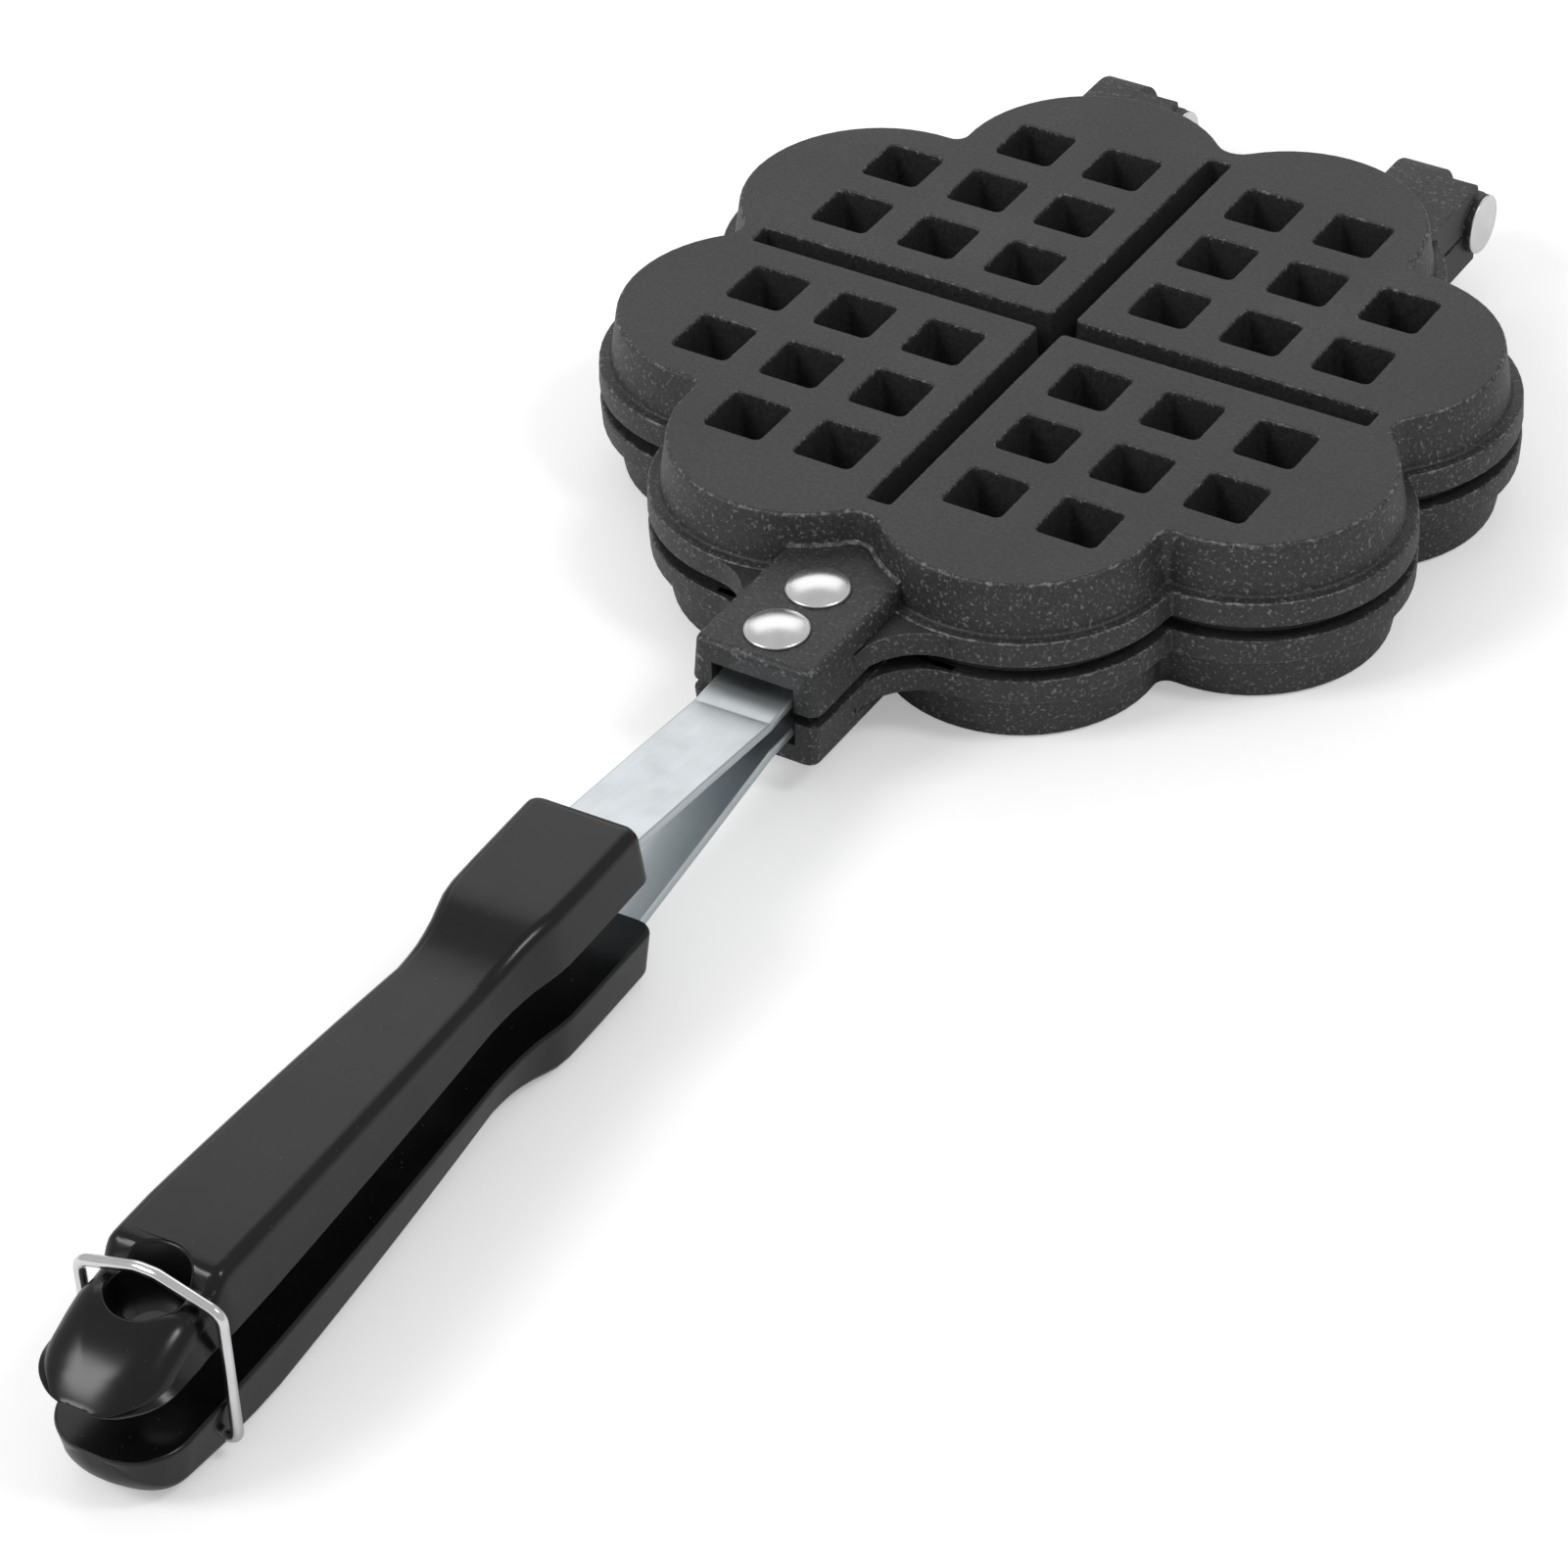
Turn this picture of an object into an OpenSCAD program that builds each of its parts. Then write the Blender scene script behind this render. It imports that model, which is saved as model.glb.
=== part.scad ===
// Egg waffle pan: two hinged cast plates in a flower outline, each on a
// flat steel tang with a moulded grip, and a wire clasp that holds the
// grips together. Millimetres, Z up, hinge at +Y, grips at -Y.
// The origin is the middle of the lower plate's resting face.

/* [Plates] */
// Half of the closed pan's thickness
half_height = 15.7; // [15.4:0.1:16.4]
// Distance of a lobe's middle from the nearer axis
lobe_near = 20.7; // [20:0.1:21.4]
// Width of the pan across its flange
plate_width = 155.9; // [155:0.1:157]
// Radius of a lobe at the outer face
lobe_radius = 25; // [24:0.1:26]
// Rounding in the valleys that meet an axis
valley_radius = 4.5; // [4:0.1:5.5]
// Rounding in the valleys on the diagonals
diagonal_valley_radius = 2.2; // [1.5:0.1:3]
// Rounding along the edge of the outer face
rim_rounding = 0.8; // [0.4:0.1:1.2]
// Height of the flange above the outer face
flange_start = 9.5; // [9:0.1:10]
// Thickness of the flange at its outer edge
flange_thickness = 4.8; // [4.2:0.1:5.2]
// Outward slope of the wall up to the flange
wall_spread = 1.35; // [0.8:0.05:2]
// Reach of the flange beyond the outer face
flange_reach = 3.65; // [3:0.05:4.2]
// Thickness of the plate's floor
floor_thickness = 2.5; // [2:0.1:3]
// Thickness of the plate's wall at the floor
wall_thickness = 3.2; // [2.6:0.1:3.8]
// Width of the lip on which the halves close
lip_width = 1.4; // [1.2:0.1:2.2]
// Space between the two lips when closed
lip_clearance = 0.3; // [0.2:0.05:0.6]

/* [Pockets] */
// Pitch of the pockets
pocket_pitch = 18; // [17.6:0.1:18.2]
// Distance of the first pockets from an axis
pocket_first = 14.6; // [14.2:0.1:15]
// Width of a pocket at the outer face
pocket_width = 11.4; // [10.6:0.1:11.8]
// Depth of a pocket
pocket_depth = 10.8; // [9.5:0.1:11.2]
// Draft of a pocket's walls, in degrees
pocket_draft = 2.8; // [1:0.1:4]
// Cut of a pocket's corners
corner_cut = 0.95; // [0.5:0.05:1.4]
// Thickness of the metal round a pocket
pocket_wall = 1.8; // [1.4:0.1:2]
// Width of the cross groove at the outer face
groove_width = 4.7; // [4.2:0.1:5.2]
// Distance of the cross groove's ends from the middle
groove_reach = 61.7; // [60:0.1:62.4]
// Depth of the cross groove
groove_depth = 9.8; // [8.5:0.1:10.6]

/* [Hinges] */
// Distance of the hinge axis from the middle
hinge_distance = 88.2; // [87:0.1:89.5]
// Distance of each hinge from the pan's centre line
hinge_offset = 31.3; // [30:0.1:33]
// Width of the left part of each hinge
left_width = 9; // [8:0.1:10]
// Width of the right part of each hinge
right_width = 8.3; // [7.5:0.1:9]
// Radius of the upper plate's barrel
upper_barrel_radius = 8; // [7.5:0.1:8.2]
// Radius of the lower plate's barrel
lower_barrel_radius = 5.8; // [5.6:0.1:6.2]
// Space round the barrels
barrel_clearance = 0.5; // [0.3:0.05:0.8]
// Side play between the barrels
side_play = 0.3; // [0.2:0.05:0.5]
// Diameter of the hinge pin
pin_diameter = 5; // [4:0.1:6]
// Radial clearance of the hinge pin in the upper plate
pin_clearance = 0.08; // [0.04:0.01:0.1]
// Diameter of the hinge pin's flat head
pin_head_diameter = 11.2; // [10.6:0.1:11.2]
// Thickness of the hinge pin's flat head
pin_head_thickness = 1; // [0.8:0.1:1.4]
// How far the head stands out of the hinge's right side
pin_proud = 0.35; // [0.2:0.05:0.6]
// Space round the pin's head
head_clearance = 1; // [0.6:0.1:1.2]
// Distance of the hinge arms from the closing plane
arm_space = 0.4; // [0.3:0.05:0.8]
// Rounding where the hinge arms meet the flange
arm_fillet = 3; // [2:0.1:4]

/* [Bosses] */
// Distance of the boss's end face from the middle
boss_end = 102.4; // [101.5:0.1:104]
// Depth of the boss's outer face below the plate's outer face
boss_drop = 5.9; // [5.5:0.1:6.5]
// Half width of the boss at its outer face
boss_half_width = 11.5; // [11.2:0.1:12.5]
// Outward slope of the boss's sides
boss_spread = 0.8; // [0.3:0.05:1.2]
// Rounding of the boss's corners
boss_rounding = 1.8; // [1:0.1:2.2]
// Rounding where the flange runs into the boss
wing_radius = 12; // [10:0.1:13]
// Half width of the channel for the tang
channel_half_width = 7.9; // [7.7:0.1:8.4]
// Distance of the channel's inner end from the middle
channel_start = 71.6; // [71:0.1:72.5]
// Thickness of the roof over the channel
roof_thickness = 4.1; // [3.6:0.1:4.4]
// Distance of the boss's legs from the closing plane
leg_space = 1.05; // [0.6:0.05:1.3]

/* [Tangs] */
// Width of the tang
tang_width = 14.5; // [13.6:0.1:14.6]
// Thickness of the tang
tang_thickness = 1.9; // [1.5:0.1:2.2]
// Distance of the tang's inner end from the middle
tang_start = 73; // [72.8:0.1:74]
// Distance of the first rivet from the middle
first_rivet = 81.2; // [80.6:0.1:82]
// Distance of the second rivet from the middle
second_rivet = 94.3; // [93.8:0.1:95]
// Diameter of a rivet's shank
rivet_diameter = 5; // [4:0.1:6]
// Diameter of a rivet's head
rivet_head_diameter = 11.2; // [10.4:0.1:11.6]
// Height of a rivet's head
rivet_head_height = 1.8; // [1.5:0.1:2.4]
// Height of a rivet's closing head
rivet_tail_height = 1.3; // [1:0.1:1.6]
// Distance at which the tang leaves the channel's roof
dip_distance = 98.6; // [98.5:0.1:99.4]
// Distance of the tang's bend from the middle
bend_distance = 110; // [108.5:0.1:112]
// Height of the tang's outer side over the mid plane at the bend
bend_height = 3.9; // [3.6:0.1:4.3]
// Height of the tang's outer side in the grip
tang_rise = 9.3; // [9:0.1:9.8]
// Distance of the tang's hidden end from the middle
tang_end = 205; // [195:0.5:215]
// Turn of the handle in plan within its channel, in degrees
handle_turn = 1.8; // [0:0.1:1.9]

/* [Grips] */
// Distance of the grip's front face from the middle
grip_front = 153.7; // [152:0.1:155]
// Distance of the grip's flat inner face from the mid plane
grip_inner = 4.9; // [4.4:0.1:5.2]
// Height of the front block over the mid plane
block_height = 15; // [14.6:0.1:15.4]
// Half width of the front block
block_half_width = 11.2; // [10.8:0.1:11.8]
// Distance of the end of the front block from the middle
block_end = 180; // [178:0.1:182]
// Distance of the waist from the middle
waist_distance = 195; // [193:0.1:199]
// Height of the waist over the mid plane
waist_height = 12.5; // [12:0.1:13]
// Half width of the waist
waist_half_width = 9; // [8.6:0.1:9.4]
// Distance of the palm's fullest part from the middle
palm_distance = 258; // [255:0.5:260]
// Height of the palm over the mid plane
palm_height = 15.6; // [15.2:0.1:15.7]
// Half width of the palm
palm_half_width = 10.8; // [10.4:0.1:11]
// How much narrower the grip is at its outer side
grip_taper = 1.7; // [1.2:0.1:2.2]
// Rounding along the grip's outer edges
grip_rounding = 3.2; // [2.6:0.1:3.4]
// Rounding at the grip's front face
front_rounding = 2.4; // [1.6:0.1:2.8]
// Distance of the grip's tail from the middle
tail_end = 290.8; // [289:0.1:292]
// Rounding of the tail in plan
tail_corner = 9; // [8:0.1:9.6]
// Rounding of the lower grip's tail seen from the side
heel_rounding = 8; // [6:0.1:9]
// Space between the tail's dome and the wire's middle that swings over it
dome_clearance = 1.25; // [1.2:0.05:1.5]
// Height of the wire's groove over the mid plane
groove_height = 12.4; // [12:0.1:12.7]
// Radius of the hang hole where it leaves the grip's inner face
hang_hole_radius = 3.6; // [3:0.1:4]
// Radius of the hang hole's funnel at the palm's height
hang_funnel_radius = 6.9; // [6.4:0.1:7]
// Distance of the hang hole's middle from the grip's tail
hang_hole_inset = 18.2; // [17.8:0.1:18.6]

/* [Clasp] */
// Distance of the clasp's pivot from the grip's tail
clasp_inset = 18.9; // [18.6:0.1:18.9]
// Depth of the clasp's pivot below the mid plane
clasp_depth = 11.9; // [11.5:0.1:12.2]
// Diameter of the clasp's wire
wire_diameter = 1.9; // [1.7:0.05:2]
// Half width of the clasp between its legs' centres
clasp_half_width = 12.3; // [12.2:0.1:12.8]
// Height of the clasp's corners over its pivot
clasp_shoulder = 24.4; // [24.1:0.1:24.8]
// Height of the clasp's middle over its pivot
clasp_peak = 27.6; // [27.4:0.1:28]
// Half length of the clasp's flat middle
clasp_flat = 1.6; // [1.4:0.1:2.4]
// Rounding of the clasp's corners
clasp_corner = 2.4; // [2:0.1:2.8]
// Rounding of the bends at the clasp's ends
clasp_end_bend = 1.6; // [1.4:0.1:1.8]
// Rounding of the bends beside the clasp's flat middle
clasp_crown_bend = 4; // [3:0.1:5]
// Reach of the wire's ends inward from the legs
clasp_hook = 6.2; // [5:0.1:6.6]
// Radial clearance of the wire's ends in the grip
clasp_clearance = 0.08; // [0.04:0.01:0.1]

/* [Hidden] */
lobe_far = plate_width / 2 - lobe_radius - flange_reach;
lip_height = half_height - lip_clearance / 2;
flange_end = flange_start + flange_thickness;
pocket_slope = tan(pocket_draft);
roof_height = boss_drop + roof_thickness;
leg_height = half_height - leg_space;
wing_reach = boss_half_width + boss_spread;
hinge_side = (left_width + right_width) / 2;
hinge_left = -hinge_side;
hinge_split = hinge_left + left_width;
hinge_right = hinge_split + right_width;
pin_seat = hinge_right + pin_proud - pin_head_thickness;
rivet_middle = (first_rivet + second_rivet) / 2;
tang_top = half_height - roof_height;
arc_steps = 16;
fixed_gap = 0.02;
slope_run = clasp_half_width - clasp_flat;
slope_rise = clasp_peak - clasp_shoulder;
slope_angle = atan(slope_rise / slope_run);
valley_steps = 5;
bore_facets = 48;
bead = wire_diameter / 2;
clasp_distance = tail_end - clasp_inset;
dome_radius = clasp_peak - bead - dome_clearance;
cutter = 600;
overlap = 1;

// The middle of lobe number i, counted from the +X axis.
function lobe(i) =
  let (q = floor(i / 2) * 90, near = i % 2 == 0,
       x = near ? lobe_far : lobe_near, y = near ? lobe_near : lobe_far)
  [x * cos(q) - y * sin(q), x * sin(q) + y * cos(q)];

function heading(v) = atan2(v[1], v[0]);

// The middle of the rounding between lobes i and i + 1.
function valley(i, big, small) =
  let (a = lobe(i), b = lobe(i + 1), m = (a + b) / 2,
       half = norm(b - a) / 2, out = sqrt((big + small) * (big + small) - half * half))
  m + out * m / norm(m);

function valley_rounding(i, grow) =
  max((i % 2 == 0 ? diagonal_valley_radius : valley_radius) - grow, 0.5);

// The flower outline, grown outward by a distance.
function flower(grow) = [
  for (i = [0 : 7])
    let (big = lobe_radius + grow, c = lobe(i),
         before = valley(i + 7, big, valley_rounding(i + 7, grow)),
         after = valley(i, big, valley_rounding(i, grow)),
         small = valley_rounding(i, grow),
         a0 = heading(before - c), a1 = heading(after - c),
         turn = a1 < a0 ? a1 - a0 + 360 : a1 - a0,
         b0 = heading(c - after), b1 = heading(lobe(i + 1) - after),
         back = b1 > b0 ? b1 - b0 - 360 : b1 - b0)
    each concat(
      [for (k = [0 : arc_steps]) c + big * [cos(a0 + turn * k / arc_steps), sin(a0 + turn * k / arc_steps)]],
      [for (k = [1 : valley_steps - 1])
        after + small * [cos(b0 + back * k / valley_steps), sin(b0 + back * k / valley_steps)]])
];

// A solid through closed rings of equal count, all star shaped about the middle.
module loft(rings, middles) {
  n = len(rings[0]);
  last = len(rings) - 1;
  points = concat([for (r = rings) each r], [middles[0], middles[1]]);
  sides = [for (j = [0 : last - 1], i = [0 : n - 1])
    [j * n + i, (j + 1) * n + i, (j + 1) * n + (i + 1) % n, j * n + (i + 1) % n]];
  low = [for (i = [0 : n - 1]) [n * (last + 1), i, (i + 1) % n]];
  high = [for (i = [0 : n - 1]) [n * (last + 1) + 1, last * n + (i + 1) % n, last * n + i]];
  polyhedron(points, concat(low, sides, high));
}

// A flower shaped solid through steps of height and growth.
module flower_loft(steps) {
  last = len(steps) - 1;
  loft([for (s = steps) [for (p = flower(s[1])) [p[0], p[1], s[0]]]],
       [[0, 0, steps[0][0]], [0, 0, steps[last][0]]]);
}

module above(height) {
  translate([-cutter / 2, -cutter / 2, height])
    cube([cutter, cutter, cutter / 2]);
}

module below(height) {
  translate([-cutter / 2, -cutter / 2, height - cutter / 2])
    cube([cutter, cutter, cutter / 2]);
}

module plate_outside() {
  difference() {
    flower_loft([
      [-2, -rim_rounding - 0.4],
      [0, -rim_rounding * 0.8],
      [rim_rounding * 0.3, -rim_rounding * 0.3],
      [rim_rounding, 0],
      [flange_start - 0.4, wall_spread],
      [flange_start, wall_spread + 0.4],
      [flange_start, flange_reach - 0.6],
      [flange_start + 0.5, flange_reach - 0.15],
      [flange_end, flange_reach],
      [flange_end, lip_width - 0.9],
      [lip_height + 2, lip_width - 1.3]
    ]);
    below(0);
    above(lip_height);
  }
}

module plate_inside() {
  intersection() {
    flower_loft([
      [0, -wall_thickness - 1.6],
      [floor_thickness, -wall_thickness - 1],
      [floor_thickness + 1, -wall_thickness],
      [half_height + 3, -lip_width + 0.9]
    ]);
    above(floor_thickness);
  }
}

// A wedge along Y: half width at the outer face, narrowing by the draft.
module drafted(half, length, start, end, grow) {
  rotate([90, 0, 0])
    translate([0, 0, -length])
      linear_extrude(2 * length)
        polygon([
          [-half - grow + pocket_slope * start, start],
          [half + grow - pocket_slope * start, start],
          [half + grow - pocket_slope * end, end],
          [-half - grow + pocket_slope * end, end]
        ]);
}

// A drafted square peg with cut corners, used for pockets and for the studs round them.
module peg(start, end, grow) {
  half = pocket_width / 2 + grow;
  corner = norm([half, half - corner_cut]);
  intersection() {
    drafted(pocket_width / 2, pocket_width, start, end, grow);
    rotate([0, 0, 90])
      drafted(pocket_width / 2, pocket_width, start, end, grow);
    translate([0, 0, start])
      cylinder(h = end - start, r1 = corner - pocket_slope * start, r2 = corner - pocket_slope * end,
               $fn = bore_facets);
  }
}

module at_pockets() {
  for (turn = [0 : 90 : 270])
    rotate([0, 0, turn])
      for (i = [0 : 2], j = [0 : 2])
        if (i + j < 4)
          translate([pocket_first + i * pocket_pitch, pocket_first + j * pocket_pitch, 0])
            children();
}

module cross_bar(start, end, grow) {
  for (turn = [0, 90])
    rotate([0, 0, turn])
      drafted(groove_width / 2, groove_reach + grow, start, end, grow);
}

// The boss that carries the tang.
module boss_block() {
  nick = boss_rounding * 0.3;
  intersection() {
    translate([0, -boss_end, 0])
      rotate([-90, 0, 0])
        linear_extrude(boss_end - channel_start + 4)
          polygon([
            [-boss_half_width + boss_rounding, -boss_drop],
            [boss_half_width - boss_rounding, -boss_drop],
            [boss_half_width - nick, -boss_drop - nick],
            [boss_half_width, -boss_drop - boss_rounding],
            [wing_reach, -leg_height],
            [-wing_reach, -leg_height],
            [-boss_half_width, -boss_drop - boss_rounding],
            [-boss_half_width + nick, -boss_drop - nick]
          ]);
    linear_extrude(half_height)
      polygon([
        [-wing_reach, overlap - channel_start],
        [-wing_reach, -boss_end + boss_rounding],
        [-wing_reach + nick, -boss_end + nick],
        [-wing_reach + boss_rounding, -boss_end],
        [wing_reach - boss_rounding, -boss_end],
        [wing_reach - nick, -boss_end + nick],
        [wing_reach, -boss_end + boss_rounding],
        [wing_reach, overlap - channel_start]
      ]);
  }
}

// The rounding where a straight side at +Y meets a lobe's flange. It lies on
// the side's right for turn 1 and on its left for turn -1.
module root_fillet(side, turn, radius) {
  big = lobe_radius + flange_reach;
  c = [lobe_near, lobe_far];
  x = side + turn * radius;
  y = lobe_far + sqrt((big + radius) * (big + radius) - (x - lobe_near) * (x - lobe_near));
  touch = c + ([x, y] - c) * big / (big + radius);
  difference() {
    translate([0, 0, flange_start + 0.25])
      linear_extrude(flange_thickness - 0.25)
        polygon([
          [side - turn * overlap, y],
          [x, y],
          touch,
          touch - [0, 2 * overlap],
          [side - turn * overlap, touch[1] - 2 * overlap]
        ]);
    translate([x, y, 0])
      cylinder(h = 2 * half_height, r = radius, $fn = 64);
  }
}

module both_sides() {
  children();
  mirror([1, 0, 0])
    children();
}

// The wings that blend the boss and the hinge arms into the flange.
module roots() {
  both_sides() {
    mirror([0, 1, 0])
      root_fillet(boss_half_width + boss_spread * 0.6, 1, wing_radius);
    root_fillet(hinge_offset + hinge_side, 1, arm_fillet);
    root_fillet(hinge_offset - hinge_side, -1, arm_fillet);
  }
}

module rivet_bores() {
  for (y = [first_rivet, second_rivet])
    translate([0, -y, 0])
      cylinder(h = 2 * half_height, d = rivet_diameter, $fn = bore_facets);
}

// Everything that the two castings share. The children are the hinge arms.
module casting() {
  difference() {
    union() {
      difference() {
        union() {
          plate_outside();
          roots();
          boss_block();
          children();
        }
        plate_inside();
      }
      at_pockets()
        peg(floor_thickness - 1, pocket_depth + pocket_wall, pocket_wall);
      cross_bar(floor_thickness - 1, groove_depth + pocket_wall, pocket_wall);
    }
    at_pockets()
      peg(-1, pocket_depth, 0);
    cross_bar(-1, groove_depth, 0);
    translate([-channel_half_width, -boss_end - 1, roof_height])
      cube([2 * channel_half_width, boss_end + 1 - channel_start, half_height]);
    rivet_bores();
  }
}

module at_hinges() {
  for (s = [-1, 1])
    translate([s * hinge_offset, hinge_distance, half_height])
      children();
}

// A round bar along X at the hinge axis.
module axle(radius, start, end) {
  translate([start, 0, 0])
    rotate([0, 90, 0])
      cylinder(h = end - start, r = radius, $fn = 64);
}

// An arm from the flange to the hinge, below the axis.
module arm() {
  reach = hinge_distance - lobe_far + overlap;
  translate([hinge_left, -reach / 2, -upper_barrel_radius])
    cube([2 * hinge_side, reach / 2, upper_barrel_radius - arm_space]);
}

// The seat of a hinge pin's head, open to the right.
module head_seat() {
  axle(pin_head_diameter / 2 + head_clearance, pin_seat, hinge_right + 1);
}

module lower_plate() {
  color("#2b2b2d")
    difference() {
      casting()
        at_hinges() {
          arm();
          axle(lower_barrel_radius, hinge_split + side_play / 2, pin_seat);
        }
      at_hinges() {
        axle(upper_barrel_radius + barrel_clearance, hinge_left - 1, hinge_split + side_play / 2);
        axle(pin_diameter / 2, hinge_left - 1, hinge_right + 1);
        head_seat();
      }
    }
}

module upside() {
  translate([0, 0, 2 * half_height])
    mirror([0, 0, 1])
      children();
}

module upper_plate() {
  color("#232325")
    difference() {
      upside()
        casting()
          at_hinges() {
            arm();
            axle(upper_barrel_radius, hinge_left, hinge_split - side_play / 2);
          }
      at_hinges() {
        axle(lower_barrel_radius + barrel_clearance, hinge_split - side_play / 2, hinge_right + 1);
        axle(pin_diameter / 2 + pin_clearance, hinge_left - 1, hinge_right + 1);
        head_seat();
      }
    }
}

module hinge_pin(side) {
  color("#d8d8da")
    translate([side * hinge_offset, hinge_distance, half_height]) {
      axle(pin_diameter / 2 - fixed_gap, hinge_left, pin_seat);
      axle(pin_head_diameter / 2, pin_seat, pin_seat + pin_head_thickness);
    }
}

module left_hinge_pin() {
  hinge_pin(-1);
}

module right_hinge_pin() {
  hinge_pin(1);
}

// Sets pieces drawn over the mid plane into the turned handle.
module handle() {
  translate([0, -rivet_middle, half_height])
    rotate([0, 0, handle_turn])
      translate([0, rivet_middle, 0])
        children();
}

// The bent strip, seen from the side, with a space added all round.
module tang_strip(space) {
  start = tang_start + 0.4;
  outer = [
    [-start + space, tang_top],
    [-dip_distance, tang_top],
    [-dip_distance - 1, tang_top - 0.2],
    [-boss_end + 0.6, bend_height + 0.4],
    [-boss_end - 1.2, bend_height + 0.15],
    [-bend_distance + 1, bend_height],
    [-bend_distance, bend_height],
    [-bend_distance - 1.4, bend_height + 0.12],
    [-grip_front + 1.5, tang_rise - 0.4],
    [-grip_front - 1.5, tang_rise - 0.1],
    [-grip_front - 5, tang_rise],
    [-tang_end - space, tang_rise]
  ];
  count = len(outer);
  inner = [for (i = [0 : count - 1]) outer[count - 1 - i] - [0, tang_thickness]];
  rotate([90, 0, 90])
    translate([0, 0, -tang_width / 2 - space])
      linear_extrude(tang_width + 2 * space)
        polygon(concat(
          [for (p = outer) p + [0, space]],
          [for (p = inner) p - [0, space]]));
}

module lower_tang() {
  color("#c3c9cc")
    difference() {
      handle()
        mirror([0, 0, 1])
          tang_strip(0);
      rivet_bores();
    }
}

module upper_tang() {
  color("#c9cfd2")
    difference() {
      handle()
        tang_strip(0);
      rivet_bores();
    }
}

// A rivet from the outer face of a boss to the inner side of its tang.
module rivet(distance) {
  cap = rivet_head_height - 0.4;
  edge = rivet_head_diameter / 2;
  ball = (edge * edge + cap * cap) / (2 * cap);
  tail = half_height - tang_top + tang_thickness;
  translate([0, -distance, 0]) {
    translate([0, 0, boss_drop - 0.4])
      cylinder(h = 0.4, r = edge, $fn = 64);
    intersection() {
      translate([0, 0, boss_drop - 0.4 - cap + ball])
        sphere(r = ball, $fn = 64);
      translate([0, 0, boss_drop - 0.4 - cap - 1])
        cylinder(h = cap + 1, r = edge, $fn = 64);
    }
    translate([0, 0, boss_drop])
      cylinder(h = tail - boss_drop, d = rivet_diameter - 2 * fixed_gap, $fn = bore_facets);
    translate([0, 0, tail])
      cylinder(h = rivet_tail_height, r1 = rivet_diameter * 0.8, r2 = rivet_diameter * 0.65, $fn = bore_facets);
  }
}

module lower_inner_rivet() {
  color("#dcdcdd")
    rivet(first_rivet);
}

module lower_outer_rivet() {
  color("#dcdcdd")
    rivet(second_rivet);
}

module upper_inner_rivet() {
  color("#dcdcdd")
    upside()
      rivet(first_rivet);
}

module upper_outer_rivet() {
  color("#dcdcdd")
    upside()
      rivet(second_rivet);
}

// One slice of a grip: sharp at the inner side, rounded at the outer side.
function slice(distance, height, half, round) =
  let (tall = height - grip_inner, turns = 6,
       top = half - min(grip_taper, 0.3 * half, 0.5 * tall),
       lift = min(0.7, 0.3 * tall, 0.3 * half),
       soft = min(round, 0.65 * tall, 0.85 * top),
       side = concat(
         [[half - lift, grip_inner], [half, grip_inner + lift]],
         [for (k = [0 : turns])
           let (a = 90 * k / turns) [top - soft + soft * cos(a), height - soft + soft * sin(a)]]),
       count = len(side))
  concat(
    [for (p = side) [p[0], -distance, p[1]]],
    [for (i = [0 : count - 1]) let (p = side[count - 1 - i]) [-p[0], -distance, p[1]]]);

function ease(t) = t * (1.35 - 0.35 * t);

// Width of a rounded end at a distance from its tip.
function rounded(full, corner, distance) =
  let (left = max(corner - distance, 0))
  full - corner + sqrt(corner * corner - left * left);

function front_slices() = concat(
  [for (step = [0, 0.3, 0.9, 1.7, 2.8])
    slice(grip_front + step, rounded(block_height, front_rounding, step),
          rounded(block_half_width, front_rounding, step), grip_rounding)],
  [
    slice(block_end - 2, block_height, block_half_width - 0.1, grip_rounding),
    slice(block_end + 1, block_height - 0.1, block_half_width - 0.5, grip_rounding),
    slice(block_end + 3.5, block_height - 0.5, block_half_width - 1, grip_rounding),
    slice(waist_distance - 9, block_height - 1.1, waist_half_width + 0.7, grip_rounding),
    slice(waist_distance - 5.5, waist_height + 0.6, waist_half_width + 0.3, grip_rounding),
    slice(waist_distance - 2.5, waist_height + 0.15, waist_half_width + 0.1, grip_rounding),
    slice(waist_distance + 1, waist_height, waist_half_width, grip_rounding)
  ],
  [for (k = [1 : 8])
    let (t = k / 8, e = ease(t))
    slice(waist_distance + 1 + t * (palm_distance - waist_distance - 1),
          waist_height + e * (palm_height - waist_height),
          waist_half_width + e * (palm_half_width - waist_half_width), grip_rounding)]);

// The upper grip's top behind the wire, just inside the wire's swing. It comes
// nearest to that swing at the tail, where its section is rounder.
function dome(distance) =
  let (past = distance - clasp_distance, swing = dome_radius - 0.5 * (1 - past / clasp_inset))
  max(sqrt(swing * swing - past * past) - clasp_depth, grip_inner + 0.5);

// Distances from the tip of the tail, closer together towards it.
function tail_steps(run, count) = [for (k = [0 : count]) run * pow(1 - k / count, 1.7)];

function upper_tail_slices() = concat(
  [
    slice(clasp_distance - 5, palm_height, palm_half_width, grip_rounding),
    slice(clasp_distance - 4, palm_height - 0.4, palm_half_width, grip_rounding),
    slice(clasp_distance - 3, palm_height - 1.5, palm_half_width - 0.1, 3),
    slice(clasp_distance - 2.1, groove_height + 0.4, palm_half_width - 0.35, 3),
    slice(clasp_distance - 1, groove_height, palm_half_width - 0.5, 3),
    slice(clasp_distance + 1.2, groove_height, palm_half_width - 0.5, 3),
    slice(clasp_distance + 2.6, groove_height + 0.1, palm_half_width - 0.15, 3.1)
  ],
  [for (step = tail_steps(clasp_inset - 4.2, 10))
    slice(tail_end - step, dome(tail_end - step), rounded(palm_half_width, tail_corner, step),
          5.4 - 2.2 * step / clasp_inset)]);

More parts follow.
